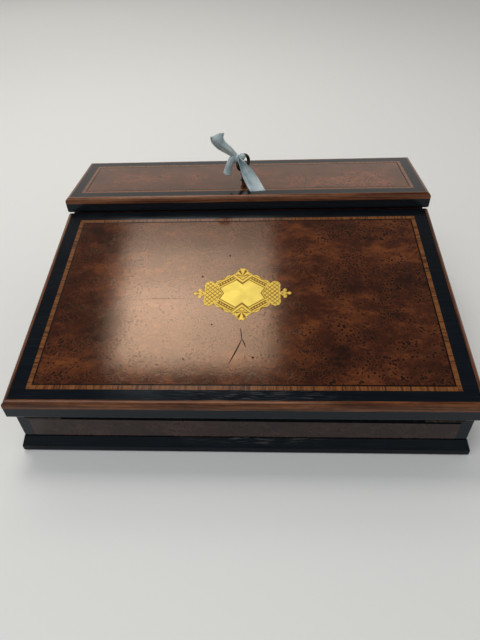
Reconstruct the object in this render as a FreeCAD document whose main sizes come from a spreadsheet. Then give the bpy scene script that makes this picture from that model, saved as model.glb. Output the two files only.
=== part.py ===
import FreeCAD, Part
import Sketcher
import os
import re
from FreeCAD import Placement, Rotation, Vector

# A portable writing slope: a low veneered case with a sloping front lid that folds forward,
# a flat rear lid over the pen and ink compartment, and a key lock in the rear lid.
# Frame: +X to the right, +Y to the back, +Z up, origin under the middle of the case on the table.

# Driving dimensions, in millimetres and degrees
SIZES = {
    # Case
    "case_width": 342.0,
    "case_depth": 286.0,
    "wall_thickness": 8.0,
    "veneer_thickness": 1.0,
    "bottom_thickness": 6.0,
    "bottom_lift": 2.0,
    "front_height": 41.2,
    "rear_height": 105.0,
    "rear_box_depth": 83.3,
    "divider_thickness": 8.0,
    "rear_step": 14.76,
    "corner_band": 8.5,
    "lining_thickness": 0.5,
    "lining_margin": 0.3,
    # Plinth moulding
    "plinth_height": 15.0,
    "plinth_projection": 4.0,
    "plinth_step": 0.6,
    "plinth_nose": 6.0,
    "plinth_foot_round": 1.5,
    # Rear compartment
    "compartment_depth": 50.0,
    "floor_thickness": 4.0,
    "partition_thickness": 4.0,
    "partition_height": 38.0,
    "end_bay": 55.0,
    "tray_height": 20.0,
    "tray_margin": 0.5,
    "channel_radius": 12.5,
    "channel_end": 7.0,
    "bottle_side": 44.0,
    "bottle_height": 30.0,
    "bottle_wall": 3.0,
    "bottle_edge": 4.0,
    "neck_radius": 10.0,
    "neck_height": 7.0,
    "cap_radius": 14.0,
    "cap_height": 13.0,
    "cap_wall": 1.0,
    "cap_round": 2.0,
    "fit_room": 0.3,
    # Lids
    "overhang": 4.0,
    "lid_gap": 0.5,
    "lid_clearance": 1.2,
    "slope_thickness": 16.0,
    "rear_thickness": 15.0,
    "rim_width": 6.0,
    "rim_round": 2.5,
    "edge_width": 4.0,
    "edge_height": 5.5,
    "edge_round": 3.4,
    "slope_border_side": 11.5,
    "slope_border_front": 8.4,
    "slope_border_rear": 10.5,
    "slope_crossband": 3.5,
    "slope_stringing": 1.2,
    "rear_border": 9.0,
    "rear_crossband": 3.0,
    "rear_stringing": 1.0,
    "leather_thickness": 0.8,
    "leather_margin": 16.0,
    # Brass cartouche let into the slope lid
    "cartouche_length": 82.0,
    "cartouche_width": 56.0,
    "shell_radius": 5.2,
    "lobe_radius": 4.3,
    "finial_radius": 2.8,
    "finial_tip": 1.8,
    # Butt hinges
    "hinge_length": 28.0,
    "hinge_inset": 9.0,
    "barrel_radius": 1.9,
    "barrel_room": 0.2,
    "leaf_width": 7.5,
    "leaf_thickness": 1.0,
    "leaf_play": 0.05,
    "knuckle_gap": 0.15,
    "pin_radius": 0.8,
    "pin_room": 0.05,
    # Screws
    "screw_radius": 0.9,
    "screw_head": 1.8,
    "screw_head_height": 0.8,
    "screw_length": 6.5,
    "screw_spacing": 16.0,
    # Lock, bolt and key
    "key_x": -2.0,
    "lock_backset": 24.0,
    "lock_swing_room": 1.5,
    "lock_width": 34.0,
    "lock_tail": 11.0,
    "lock_height": 9.5,
    "lock_wall": 1.0,
    "lock_plate_thickness": 1.2,
    "lock_plate_wing": 6.5,
    "bolt_width": 12.0,
    "bolt_thickness": 3.0,
    "bolt_head_length": 12.0,
    "bolt_inset": 0.3,
    "bolt_tail_width": 5.6,
    "bolt_tail_thickness": 2.0,
    "bolt_room": 0.3,
    "notch_width": 4.2,
    "notch_depth": 2.6,
    "mortise_depth": 6.4,
    "strike_thickness": 1.0,
    "strike_wing": 5.0,
    "strike_height": 8.0,
    "shaft_radius": 2.0,
    "bore_radius": 1.1,
    "bore_depth": 8.0,
    "drill_pin_radius": 0.95,
    "bit_radius": 5.2,
    "bit_thickness": 1.8,
    "bit_height": 5.6,
    "bit_lift": 0.6,
    "key_lift": 0.4,
    "key_angle": 45.0,
    "keyhole_room": 0.5,
    "escutcheon_rim": 1.2,
    "bow_height": 18.0,
    "bow_radius": 7.3,
    "bow_wire": 1.6,
    "collar_radius": 3.0,
    "collar_height": 2.0,
    "collar_lift": 6.0,
    # Ribbon on the key
    "ribbon_width": 13.0,
    "ribbon_thickness": 1.0,
    "ribbon_room": 0.3,
    "knot_size": 8.0,
}

doc = FreeCAD.newDocument("writing_slope")
sheet = doc.addObject("Spreadsheet::Sheet", "sizes")
for row, (alias, value) in enumerate(SIZES.items(), start=1):
    sheet.set(f"A{row}", alias)
    sheet.set(f"B{row}", str(value))
    sheet.setAlias(f"B{row}", alias)
doc.recompute()

MATHS = ("sin", "cos", "atan")
X_AXIS = Vector(1, 0, 0)
Y_AXIS = Vector(0, 1, 0)
Z_AXIS = Vector(0, 0, 1)


def formula(text):
    """Turn a formula over alias names into an expression over the sheet's cells."""
    return re.sub(r"[a-z][a-z_]*", lambda word: word[0] if word[0] in MATHS else "sizes." + word[0], text)


def bind(item, **formulas):
    """Tie each named property of an object to its formula."""
    for name, text in formulas.items():
        item.setExpression(name, formula(text))


def number(text):
    """The present value of a formula, an angle in degrees."""
    value = sheet.evalExpression(formula(text))
    return float(getattr(value, "Value", value))


def place(item, x="0", y="0", z="0", axis=Z_AXIS, angle="0"):
    """Set an object's placement from formulas."""
    item.Placement = Placement(Vector(), Rotation(axis, number(angle)))
    for name, text in (("Base.x", x), ("Base.y", y), ("Base.z", z), ("Rotation.Angle", angle)):
        item.setExpression("Placement." + name, formula(text))
    return item


def box(name, x, y, z, length, width, height):
    """A box given by its lowest corner and its sizes along X, Y and Z."""
    item = doc.addObject("Part::Box", name)
    bind(item, Length=length, Width=width, Height=height)
    return place(item, x, y, z)


def cylinder(name, x, y, z, radius, height, axis=Z_AXIS, angle="0"):
    """A cylinder from its base centre along Z, or turned about an axis."""
    item = doc.addObject("Part::Cylinder", name)
    bind(item, Radius=radius, Height=height)
    return place(item, x, y, z, axis, angle)


def cone(name, x, y, z, low_radius, high_radius, height, axis=Z_AXIS, angle="0"):
    """A cone frustum from its base centre along Z, or turned about an axis."""
    item = doc.addObject("Part::Cone", name)
    bind(item, Radius1=low_radius, Radius2=high_radius, Height=height)
    return place(item, x, y, z, axis, angle)


def cut(name, base, *tools):
    """The base with every tool taken out of it."""
    item = doc.addObject("Part::Cut", name)
    item.Base = base
    item.Tool = tools[0] if len(tools) == 1 else group(name + "_tools", *tools)
    return item


def fuse(name, *shapes):
    """One solid of several that overlap or touch."""
    item = doc.addObject("Part::MultiFuse", name)
    item.Shapes = list(shapes)
    item.Refine = True
    return item


def group(name, *links):
    """Separate solids kept together as one object."""
    item = doc.addObject("Part::Compound", name)
    item.Links = list(links)
    return item


def outline(body, name, plane, points):
    """A closed sketch through points (x, y, radius); a radius rounds the way to the next point."""
    sketch = body.newObject("Sketcher::SketchObject", name)
    sketch.AttachmentSupport = [(next(f for f in body.Origin.OriginFeatures if f.Role == plane), "")]
    sketch.MapMode = "FlatFace"
    corners = [Vector(number(x), number(y), 0) for x, y, _ in points]
    starts, ends = [], []
    for index, (x, y, radius) in enumerate(points):
        start, end = corners[index], corners[(index + 1) % len(points)]
        if radius is None:
            side = sketch.addGeometry(Part.LineSegment(start, end))
        else:
            chord = end - start
            bend = number(radius)
            rise = bend - (bend ** 2 - (chord.Length / 2) ** 2) ** 0.5
            outward = Vector(chord.y, -chord.x, 0).normalize()
            side = sketch.addGeometry(Part.Arc(start, start + chord / 2 + outward * rise, end))
            label = sketch.addConstraint(Sketcher.Constraint("Radius", side, bend))
            sketch.renameConstraint(label, f"round_{index}")
            sketch.setExpression(f"Constraints.round_{index}", formula(radius))
        near, far = (sketch.getPoint(side, end).distanceToPoint(start) for end in (1, 2))
        forward = near < far
        starts.append((side, 1 if forward else 2))
        ends.append((side, 2 if forward else 1))
    for index, (x, y, _) in enumerate(points):
        sketch.addConstraint(Sketcher.Constraint("Coincident", *ends[index - 1], *starts[index]))
        for kind, text, value, axis_line in (("DistanceX", x, corners[index].x, -2),
                                             ("DistanceY", y, corners[index].y, -1)):
            if abs(value) < 1e-9:
                sketch.addConstraint(Sketcher.Constraint("PointOnObject", *starts[index], axis_line))
                continue
            label = sketch.addConstraint(Sketcher.Constraint(kind, -1, 1, *starts[index], value))
            sketch.renameConstraint(label, f"{kind}_{index}")
            sketch.setExpression(f"Constraints.{kind}_{index}", formula(text))
    return sketch


def prism(name, plane, points, length):
    """A body padded from an outline, along X from the YZ plane or along Z from the XY plane."""
    body = doc.addObject("PartDesign::Body", name)
    doc.recompute()
    sketch = outline(body, name + "_outline", plane, points)
    pad = body.newObject("PartDesign::Pad", name + "_pad")
    pad.Profile = sketch
    pad.setExpression("Length", formula(length))
    return body


def mitre(name, length, width, height, start="1", end="1"):
    """A strip along X whose ends run in with Y: a slope of 1 is a mitre, 0 a square end."""
    item = doc.addObject("Part::Wedge", name)
    bind(item, Xmin="0", Ymin="0", Zmin="0", Z2min="0")
    bind(item, Xmax=length, Ymax=width, Zmax=height, Z2max=height)
    bind(item, X2min=f"({width}) * {start}", X2max=f"{length} - ({width}) * {end}")
    return item


def moulding(name, profile, length, width, height, start="1", end="1"):
    """A profile run along X, its outer face to -Y, with its ends mitred."""
    item = doc.addObject("Part::Common", name)
    item.Base = prism(name + "_run", "YZ_Plane", profile, length)
    item.Tool = mitre(name + "_ends", length, width, height, start, end)
    return item


def flat_frame(name, left, right, front, back, widths, low, height):
    """Four mitred flat strips round a rectangle, as separate solids, with widths front, right, back, left."""
    across, along = f"({right}) - ({left})", f"({back}) - ({front})"
    runs = (("front", across, left, front, "0"), ("right", along, right, front, "90"),
            ("back", across, right, back, "180"), ("left", along, left, back, "270"))
    strips = []
    for index, (side, length, x, y, angle) in enumerate(runs):
        start = f"({widths[index - 1]} / {widths[index]})"
        end = f"({widths[(index + 1) % 4]} / {widths[index]})"
        strip = mitre(f"{name}_{side}", length, widths[index], height, start, end)
        strips.append(place(strip, x, y, low, Z_AXIS, angle))
    return strips


def screw(name, x, y, z, axis=Z_AXIS, angle="0"):
    """A countersunk screw, its flat head at the given point, driven down along -Z before turning."""
    shank = cylinder(name + "_shank", "0", "0", "-screw_length", "screw_radius", "screw_length")
    head = cone(name + "_head", "0", "0", "-screw_head_height", "screw_radius", "screw_head",
                "screw_head_height")
    return place(fuse(name, shank, head), x, y, z, axis, angle)


NODES = []


def node(label, item):
    """Name a finished sub-part."""
    item.Label = label
    if item.Label != label:
        raise RuntimeError(f"two objects are named {label}")
    NODES.append(item)
    return item


# Slope of the case's top, rising from the front to a step below the rear box's rim
slope_rise = "((rear_height - rear_step - front_height) / (case_depth - rear_box_depth))"
slope_angle = f"atan({slope_rise})"
slope_sin = f"sin({slope_angle})"
slope_cos = f"cos({slope_angle})"

# Reference planes of the case and lids
half_case = "(case_width / 2)"
front_y = "(-case_depth / 2)"
back_y = "(case_depth / 2)"
core_half = "(case_width / 2 - veneer_thickness)"
inner_half = "(case_width / 2 - veneer_thickness - wall_thickness)"
front_core_y = f"({front_y} + veneer_thickness)"
front_inner_y = f"({front_y} + veneer_thickness + wall_thickness)"
back_inner_y = f"({back_y} - wall_thickness)"
divider_y = f"({back_y} - rear_box_depth)"
divider_back_y = f"({back_y} - rear_box_depth + divider_thickness)"
floor_top = "(rear_height - compartment_depth)"
bottom_top = "(bottom_lift + bottom_thickness)"
lid_half = "(case_width / 2 + overhang)"
barrel_offset = "(barrel_radius + barrel_room)"
slope_axis_y = f"({front_y} - {barrel_offset})"
slope_axis_z = f"(front_height + lid_gap / 2 / {slope_cos} - {barrel_offset} * {slope_rise})"
rear_axis_y = f"({back_y} + {barrel_offset})"
rear_axis_z = "(rear_height + lid_gap / 2)"
rear_lid_low = "(rear_height + lid_gap)"
rear_lid_top = "(rear_height + lid_gap + rear_thickness)"
rear_lid_front = f"({divider_y} - overhang)"
rear_lid_back = f"({back_y} + overhang)"


def slope_top(y):
    """Height of the case's sloping top edge at a depth."""
    return f"(front_height + ({y} - {front_y}) * {slope_rise})"


def on_slope(name, *items):
    """Put solids made in the slope lid's own frame, about its hinge axis, into place."""
    return place(group(name, *items), "0", slope_axis_y, slope_axis_z, X_AXIS, slope_angle)


# Butt hinges: leaves let into the case and the lid, three knuckles and a pin, about the X axis
hinge_starts = {"left": f"({half_case} * -1 + hinge_inset)",
                "right": f"({half_case} - hinge_inset - hinge_length)"}
knuckle = "(hinge_length / 3 - knuckle_gap)"
leaf_reach = f"({barrel_offset} + leaf_width)"


def hinge_leaf(name, x, knuckle_starts, low):
    """One leaf with its knuckles, bored for the pin."""
    pieces = [box(name + "_plate", x, barrel_offset, low, "hinge_length", "leaf_width", "leaf_thickness")]
    for index, offset in enumerate(knuckle_starts):
        start = f"{x} + {offset}"
        pieces.append(cylinder(f"{name}_knuckle_{index}", start, "0", "0", "barrel_radius", knuckle, Y_AXIS,
                               "90"))
        pieces.append(box(f"{name}_web_{index}", start, "0", low, knuckle, barrel_offset, "leaf_thickness"))
    bore = cylinder(name + "_bore", f"{x} - knuckle_gap", "0", "0", "pin_radius + pin_room",
                    "hinge_length + 2 * knuckle_gap", Y_AXIS, "90")
    return cut(name, fuse(name + "_solid", *pieces), bore)


def hinge_set(name, put):
    """Case leaves, lid leaves, pins, screws and the barrels' room of one lid's two hinges."""
    parts = {"case_leaves": [], "lid_leaves": [], "pins": [], "case_screws": [], "lid_screws": [], "room": []}
    for side, x in hinge_starts.items():
        tag = f"{name}_{side}"
        screw_y = f"{barrel_offset} + leaf_width * 0.6"
        case_screws, lid_screws = [], []
        for index, shift in enumerate(("-0.5", "0.5")):
            screw_x = f"{x} + hinge_length / 2 + screw_spacing * {shift}"
            case_screws.append(screw(f"{tag}_case_screw_{index}", screw_x, screw_y, "-leaf_play"))
            lid_screws.append(screw(f"{tag}_lid_screw_{index}", screw_x, screw_y, "leaf_play", X_AXIS, "180"))
        outer = ("0", "hinge_length - hinge_length / 3 + knuckle_gap")
        middle = ("hinge_length / 3 + knuckle_gap / 2",)
        case_leaf = hinge_leaf(tag + "_case_plain", x, outer, "-leaf_play - leaf_thickness")
        lid_leaf = hinge_leaf(tag + "_lid_plain", x, middle, "leaf_play")
        parts["case_leaves"].append(cut(tag + "_case_leaf", case_leaf, *case_screws))
        parts["lid_leaves"].append(cut(tag + "_lid_leaf", lid_leaf, *lid_screws))
        parts["pins"].append(cylinder(tag + "_pin", x, "0", "0", "pin_radius", "hinge_length", Y_AXIS, "90"))
        parts["case_screws"] += case_screws
        parts["lid_screws"] += lid_screws
        parts["room"].append(cylinder(tag + "_room", f"{x} - barrel_room", "0", "0",
                                      "barrel_radius + barrel_room",
                                      "hinge_length + 2 * barrel_room", Y_AXIS, "90"))
    return {kind: put(f"{name}_{kind}", *items) for kind, items in parts.items()}


def at_back(name, *items):
    """Put hinge solids made about the X axis at the back of the case, turned to face forward."""
    return place(group(name, *items), "0", rear_axis_y, rear_axis_z, Z_AXIS, "180")


slope_hinges = hinge_set("slope_hinge", on_slope)
slope_hinges_flat = hinge_set("slope_hinge_tool", group)
rear_hinges = hinge_set("rear_hinge", at_back)

# Case: walls butted at the corners, bottom board between them, floor and divider of the rear box
node("bottom_board", box("bottom_board", f"-{inner_half}", front_inner_y, "bottom_lift", f"2 * {inner_half}",
                         f"{back_inner_y} - {front_inner_y}", "bottom_thickness"))
front_profile = [("0", "0", None), ("wall_thickness", "0", None),
                 ("wall_thickness", slope_top(front_inner_y), None),
                 ("0", slope_top(front_core_y), None)]
front_plain = place(prism("front_wall_plain", "YZ_Plane", front_profile, f"2 * {inner_half}"),
                    f"-{inner_half}", front_core_y)
node("front_wall", cut("front_wall", front_plain, slope_hinges["case_leaves"], slope_hinges["case_screws"]))
back_plain = box("back_wall_plain", f"-{inner_half}", back_inner_y, "0", f"2 * {inner_half}",
                 "wall_thickness", "rear_height")
node("back_wall", cut("back_wall", back_plain, rear_hinges["case_leaves"], rear_hinges["case_screws"]))


def side_outline(start, stop, foot):
    """Side of the case between two depths, sloping in front of the divider and level behind it."""
    step = f"{divider_y} - {start}"
    depth = f"{stop} - {start}"
    return [("0", foot, None), (depth, foot, None), (depth, "rear_height", None), (step, "rear_height", None),
            (step, slope_top(divider_y), None), ("0", slope_top(start), None)]


for side, x in (("left", f"-{core_half}"), ("right", inner_half)):
    wall = prism(f"{side}_wall", "YZ_Plane", side_outline(front_core_y, back_y, "0"), "wall_thickness")
    node(f"{side}_wall", place(wall, x, front_core_y))

node("compartment_floor", box("compartment_floor", f"-{inner_half}", divider_y,
                              f"{floor_top} - floor_thickness",
                              f"2 * {inner_half}", f"{back_inner_y} - {divider_y}", "floor_thickness"))

# Plinth: a splayed moulding with a rounded nose, mitred at the corners
plinth_profile = [("plinth_projection", "0", None), ("plinth_projection", "plinth_height", None),
                  ("plinth_projection - plinth_step", "plinth_height", None), ("0", "plinth_nose", None),
                  ("0", "plinth_foot_round", "plinth_foot_round"), ("plinth_foot_round", "0", None)]
plinth_half = "(case_width / 2 + plinth_projection)"
plinth_front = f"({front_y} - plinth_projection)"
plinth_back = f"({back_y} + plinth_projection)"
plinth_long = f"2 * {plinth_half}"
plinth_short = f"{plinth_back} - {plinth_front}"
for side, length, x, y, angle in (("front", plinth_long, f"-{plinth_half}", plinth_front, "0"),
                                  ("right", plinth_short, plinth_half, plinth_front, "90"),
                                  ("back", plinth_long, plinth_half, plinth_back, "180"),
                                  ("left", plinth_short, f"-{plinth_half}", plinth_back, "270")):
    strip = moulding(f"plinth_{side}", plinth_profile, length, "plinth_projection", "plinth_height")
    node(f"plinth_{side}", place(strip, x, y, "0", Z_AXIS, angle))

# Veneer of the case: burr between ebonised bands at the corners
band_inner = f"({half_case} - corner_band)"
front_veneer_profile = [("0", "bottom_lift", None), ("veneer_thickness", "bottom_lift", None),
                        ("veneer_thickness", slope_top(front_core_y), None), ("0", "front_height", None)]


def front_skin(name, x, length):
    """A stretch of the front's veneer."""
    return place(prism(name, "YZ_Plane", front_veneer_profile, length), x, front_y)


node("front_veneer", cut("front_veneer", front_skin("front_veneer_plain", f"-{band_inner}",
                                                    f"2 * {band_inner}"),
                         slope_hinges["case_leaves"], slope_hinges["case_screws"]))
bands = [front_skin("front_band_left", f"-{half_case}", "corner_band"),
         front_skin("front_band_right", band_inner, "corner_band")]
side_band_front = f"({front_core_y} + corner_band)"
side_band_back = f"({back_y} - corner_band)"
for side, x in (("left", f"-{half_case}"), ("right", core_half)):
    skin_outline = side_outline(side_band_front, side_band_back, "bottom_lift")
    skin = prism(f"{side}_veneer", "YZ_Plane", skin_outline, "veneer_thickness")
    node(f"{side}_veneer", place(skin, x, side_band_front))
    low_band = [("0", "bottom_lift", None), ("corner_band", "bottom_lift", None),
                ("corner_band", slope_top(side_band_front), None), ("0", slope_top(front_core_y), None)]
    bands.append(place(prism(f"{side}_band_front", "YZ_Plane", low_band, "veneer_thickness"), x,
                       front_core_y))
    bands.append(box(f"{side}_band_back", x, side_band_back, "bottom_lift", "veneer_thickness", "corner_band",
                     "rear_height - bottom_lift"))
node("corner_bands", group("corner_bands", *bands))
node("well_lining", box("well_lining", f"-{inner_half} + lining_margin", f"{front_inner_y} + lining_margin",
                        bottom_top, f"2 * ({inner_half} - lining_margin)",
                        f"{back_inner_y} - {front_inner_y} - 2 * lining_margin", "lining_thickness"))

# Rear compartment: pen tray between two partitions, an ink bottle in each end
partition_y = divider_back_y
partition_depth = f"({back_inner_y} - {divider_back_y})"
partition_inner = f"({inner_half} - end_bay - partition_thickness)"
partition_x = {"left": f"-{inner_half} + end_bay", "right": partition_inner}
node("partitions", group("partitions", *(
    box(f"partition_{side}", x, partition_y, floor_top, "partition_thickness", partition_depth,
        "partition_height")
    for side, x in partition_x.items())))
tray_half = f"({partition_inner} - tray_margin)"
tray_y = f"({partition_y} + tray_margin)"
tray_depth = f"({partition_depth} - 2 * tray_margin)"
tray_block = box("pen_tray_block", f"-{tray_half}", tray_y, floor_top, f"2 * {tray_half}", tray_depth,
                 "tray_height")
channels = [cylinder(f"pen_channel_{index}", f"-{tray_half} + channel_end",
                     f"{tray_y} + {tray_depth} * {share}",
                     f"{floor_top} + tray_height", "channel_radius", f"2 * ({tray_half} - channel_end)",
                     Y_AXIS, "90")
            for index, share in enumerate(("0.25", "0.75"))]
node("pen_tray", cut("pen_tray", tray_block, *channels))

bottle_y = f"({partition_y} + {partition_depth} / 2)"
bottle_offset = f"({inner_half} - end_bay / 2)"
neck_low = f"({floor_top} + bottle_height)"
for side, sign in (("left", "-1"), ("right", "1")):
    x = f"{bottle_offset} * {sign}"
    tag = f"ink_bottle_{side}"
    square = box(tag + "_square", f"{x} - bottle_side / 2", f"{bottle_y} - bottle_side / 2", floor_top,
                 "bottle_side", "bottle_side", "bottle_height")
    turned = place(box(tag + "_bevel", "0", "0", "0", "bottle_side * 1.4142 - 2 * bottle_edge",
                       "bottle_side * 1.4142 - 2 * bottle_edge", "bottle_height"),
                   x, f"{bottle_y} - (bottle_side - bottle_edge * 1.4142)", floor_top, Z_AXIS, "45")
    block = doc.addObject("Part::Common", tag + "_body")
    block.Base = square
    block.Tool = turned
    neck = cylinder(tag + "_neck", x, bottle_y, f"{neck_low} - bottle_wall", "neck_radius",
                    "neck_height + bottle_wall")
    inside = cylinder(tag + "_inside", x, bottle_y, f"{floor_top} + bottle_wall", "neck_radius - bottle_wall",
                      "bottle_height + neck_height")
    well = cylinder(tag + "_well", x, bottle_y, f"{floor_top} + bottle_wall", "bottle_side / 2 - bottle_wall",
                    "bottle_height - 2 * bottle_wall")
    node(tag, cut(tag, fuse(tag + "_glass", block, neck), inside, well))
    tag = f"ink_cap_{side}"
    shell = cylinder(tag + "_shell", x, bottle_y, neck_low, "cap_radius", "cap_height - cap_round")
    dome = cone(tag + "_dome", x, bottle_y, f"{neck_low} + cap_height - cap_round", "cap_radius",
                "cap_radius - cap_round", "cap_round")
    hollow = cylinder(tag + "_hollow", x, bottle_y, neck_low, "neck_radius + fit_room",
                      "neck_height + fit_room")
    node(tag, cut(tag, fuse(tag + "_solid", shell, dome), hollow))

# Rims and edges of the lids: an ebonised moulding rebated for a rounded tulipwood strip


def rim_profile(thickness, lean):
    """The moulding's section, its outer face leaning back by an angle from square to the lid."""
    face = f"sin({lean}) / cos({lean})"
    top = f"{thickness} * {face}"
    low_round = f"rim_round * (1 - sin({lean})) / cos({lean})"
    return [("rim_round", "0", None), (f"{top} + rim_width", "0", None),
            (f"{top} + rim_width", f"{thickness} - veneer_thickness", None),
            (f"{top} + edge_width", f"{thickness} - veneer_thickness", None),
            (f"{top} + edge_width", f"{thickness} - edge_height", None),
            (f"({thickness} - edge_height) * {face}", f"{thickness} - edge_height", None),
            (f"rim_round * sin({lean})", f"rim_round * cos({lean})", low_round)]


def edge_profile(thickness, lean):
    """The tulipwood strip's section, rounded from the lid's top to its outer face."""
    face = f"sin({lean}) / cos({lean})"
    top = f"{thickness} * {face}"
    return [(f"({thickness} - edge_height) * {face}", f"{thickness} - edge_height", None),
            (f"{top} + edge_width", f"{thickness} - edge_height", None),
            (f"{top} + edge_width", thickness, None),
            (f"{top} + edge_round", thickness, f"edge_round * (1 + sin({lean})) / cos({lean})"),
            (f"{top} - edge_round * sin({lean})", f"{thickness} - edge_round * cos({lean})", None)]


# Slope lid, in its own frame: X across, Y up the slope from the hinge axis, Z square to the lid
lid_low = "(lid_gap / 2)"
lid_top = "(lid_gap / 2 + slope_thickness)"
slope_front_low = f"(({barrel_offset} - overhang + {lid_low} * {slope_sin}) / {slope_cos})"
slope_lean = f"(slope_thickness * {slope_rise})"
slope_front = f"({slope_front_low} + {slope_lean})"
slope_rear = f"(({rear_lid_front} - lid_clearance - {slope_axis_y} + {lid_top} * {slope_sin}) / {slope_cos})"
side_length = f"({slope_rear} - {slope_front})"

front_run = prism("slope_rim_front_run", "YZ_Plane", rim_profile("slope_thickness", slope_angle),
                  f"2 * {lid_half}")
front_edge_run = prism("slope_edge_front_run", "YZ_Plane", edge_profile("slope_thickness", slope_angle),
                       f"2 * {lid_half}")
front_strips = []
for name, run, width in (("slope_rim_front", front_run, "rim_width"),
                         ("slope_edge_front", front_edge_run, "edge_width")):
    lean_block = box(name + "_lean", "0", "0", "0", f"2 * {lid_half}", slope_lean, "slope_thickness")
    ends = place(mitre(name + "_ends", f"2 * {lid_half}", width, "slope_thickness"), "0", slope_lean)
    strip = doc.addObject("Part::Common", name + "_strip")
    strip.Base = run
    strip.Tool = fuse(name + "_plan", lean_block, ends)
    front_strips.append(place(strip, f"-{lid_half}", slope_front_low, lid_low))
front_rim_strip, front_edge_strip = front_strips
slope_tools = (slope_hinges_flat["room"], slope_hinges_flat["lid_leaves"], slope_hinges_flat["lid_screws"])
front_rim = cut("slope_rim_front_cut", front_rim_strip, *slope_tools)
node("slope_rim_front", on_slope("slope_rim_front", front_rim))
slope_edges = [front_edge_strip]

side_rim = rim_profile("slope_thickness", "0")
side_edge = edge_profile("slope_thickness", "0")
for side, x, y, angle, start, end in (("right", lid_half, slope_front, "90", "1", "0"),
                                      ("left", f"-{lid_half}", slope_rear, "270", "0", "1")):
    rim = moulding(f"slope_rim_{side}_strip", side_rim, side_length, "rim_width", "slope_thickness", start,
                   end)
    node(f"slope_rim_{side}", on_slope(f"slope_rim_{side}", place(rim, x, y, lid_low, Z_AXIS, angle)))
    edge = moulding(f"slope_edge_{side}", side_edge, side_length, "edge_width", "slope_thickness", start, end)
    slope_edges.append(place(edge, x, y, lid_low, Z_AXIS, angle))
node("slope_edge", on_slope("slope_edge", *slope_edges))
core_x = f"({lid_half} - rim_width)"
rear_lip = box("slope_rim_rear_lip", f"-{core_x}", f"{slope_rear} - rim_width", lid_low, f"2 * {core_x}",
               "rim_width", "slope_thickness - veneer_thickness")
node("slope_rim_rear", on_slope("slope_rim_rear", rear_lip))

board_front = f"({slope_front} + rim_width)"
board_length = f"({slope_rear} - 2 * rim_width - {slope_front})"
slope_board = box("slope_core_board", f"-{core_x}", board_front, lid_low, f"2 * {core_x}", board_length,
                  "slope_thickness - veneer_thickness")
leather = box("writing_leather_sheet", f"-{lid_half} + leather_margin", f"{slope_front} + leather_margin",
              lid_low, f"2 * ({lid_half} - leather_margin)", f"{side_length} - 2 * leather_margin",
              "leather_thickness")
node("slope_core", on_slope("slope_core", cut("slope_core_cut", slope_board, leather,
                                              slope_hinges_flat["lid_leaves"],
                                              slope_hinges_flat["lid_screws"])))
node("writing_leather", on_slope("writing_leather", leather))

# Face of the slope lid: border, crossbanding, stringing, burr and the brass cartouche, all flush
face_low = f"({lid_top} - veneer_thickness)"
border_out_x = f"({lid_half} - edge_width)"
border_in_x = f"({border_out_x} - slope_border_side)"
border_front = f"({slope_front} + edge_width)"
crossband_front = f"({border_front} + slope_border_front)"
crossband_rear = f"({slope_rear} - slope_border_rear)"
border_widths = ("slope_border_front", "slope_border_side", "slope_border_rear", "slope_border_side")
node("slope_border", on_slope("slope_border", *flat_frame(
    "slope_border", f"-{border_out_x}", border_out_x, border_front, slope_rear, border_widths, face_low,
    "veneer_thickness")))
node("slope_crossband", on_slope("slope_crossband", *flat_frame(
    "slope_crossband", f"-{border_in_x}", border_in_x, crossband_front, crossband_rear,
    ("slope_crossband",) * 4, face_low, "veneer_thickness")))
line_x = f"({border_in_x} - slope_crossband)"
line_front = f"({crossband_front} + slope_crossband)"
line_rear = f"({crossband_rear} - slope_crossband)"
node("slope_stringing", on_slope("slope_stringing", *flat_frame(
    "slope_stringing", f"-{line_x}", line_x, line_front, line_rear, ("slope_stringing",) * 4,
    face_low, "veneer_thickness")))
burr_x = f"({line_x} - slope_stringing)"
burr_front = f"({line_front} + slope_stringing)"
burr_length = f"({line_rear} - slope_stringing - {burr_front})"

cartouche_y = f"(({slope_front} + {slope_rear}) / 2)"
quarter = [("0.104", "0.384"), ("0.195", "0.3125"), ("0.287", "0.214"), ("0.378", "0.152")]
plate_points = ([(f"cartouche_length * {x}", f"cartouche_width * -{y}", None) for x, y in quarter]
                + [(f"cartouche_length * {x}", f"cartouche_width * {y}", None) for x, y in reversed(quarter)]
                + [(f"cartouche_length * -{x}", f"cartouche_width * {y}", None) for x, y in quarter]
                + [(f"cartouche_length * -{x}", f"cartouche_width * -{y}", None) for x,
                   y in reversed(quarter)])
plate = prism("cartouche_plate", "XY_Plane", plate_points, "veneer_thickness")
brass = [place(plate, "0", cartouche_y, face_low)]
for index, (x, y, radius) in enumerate((
        ("0", "cartouche_width / 2 - shell_radius", "shell_radius"),
        ("cartouche_length * 0.338", "cartouche_width * 0.157", "lobe_radius"),
        ("cartouche_length * 0.338", "0 - cartouche_width * 0.157", "lobe_radius"),
        ("cartouche_length * 0.424", "0", "finial_radius"),
        ("cartouche_length / 2 - finial_tip", "0", "finial_tip"))):
    for half, sign in (("a", "1"), ("b", "-1")):
        brass.append(cylinder(f"cartouche_round_{index}{half}", f"({x}) * {sign}",
                              f"{cartouche_y} + ({y}) * {sign}", face_low, radius, "veneer_thickness"))
brass.append(box("cartouche_bar", "-cartouche_length / 2 + finial_tip", f"{cartouche_y} - finial_tip / 2",
                 face_low, "cartouche_length - 2 * finial_tip", "finial_tip", "veneer_thickness"))
cartouche = fuse("brass_cartouche_plate", *brass)
burr_sheet = box("slope_burr_sheet", f"-{burr_x}", burr_front, face_low, f"2 * {burr_x}", burr_length,
                 "veneer_thickness")
node("slope_burr", on_slope("slope_burr", cut("slope_burr_cut", burr_sheet, cartouche)))
node("brass_cartouche", on_slope("brass_cartouche", cartouche))

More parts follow.
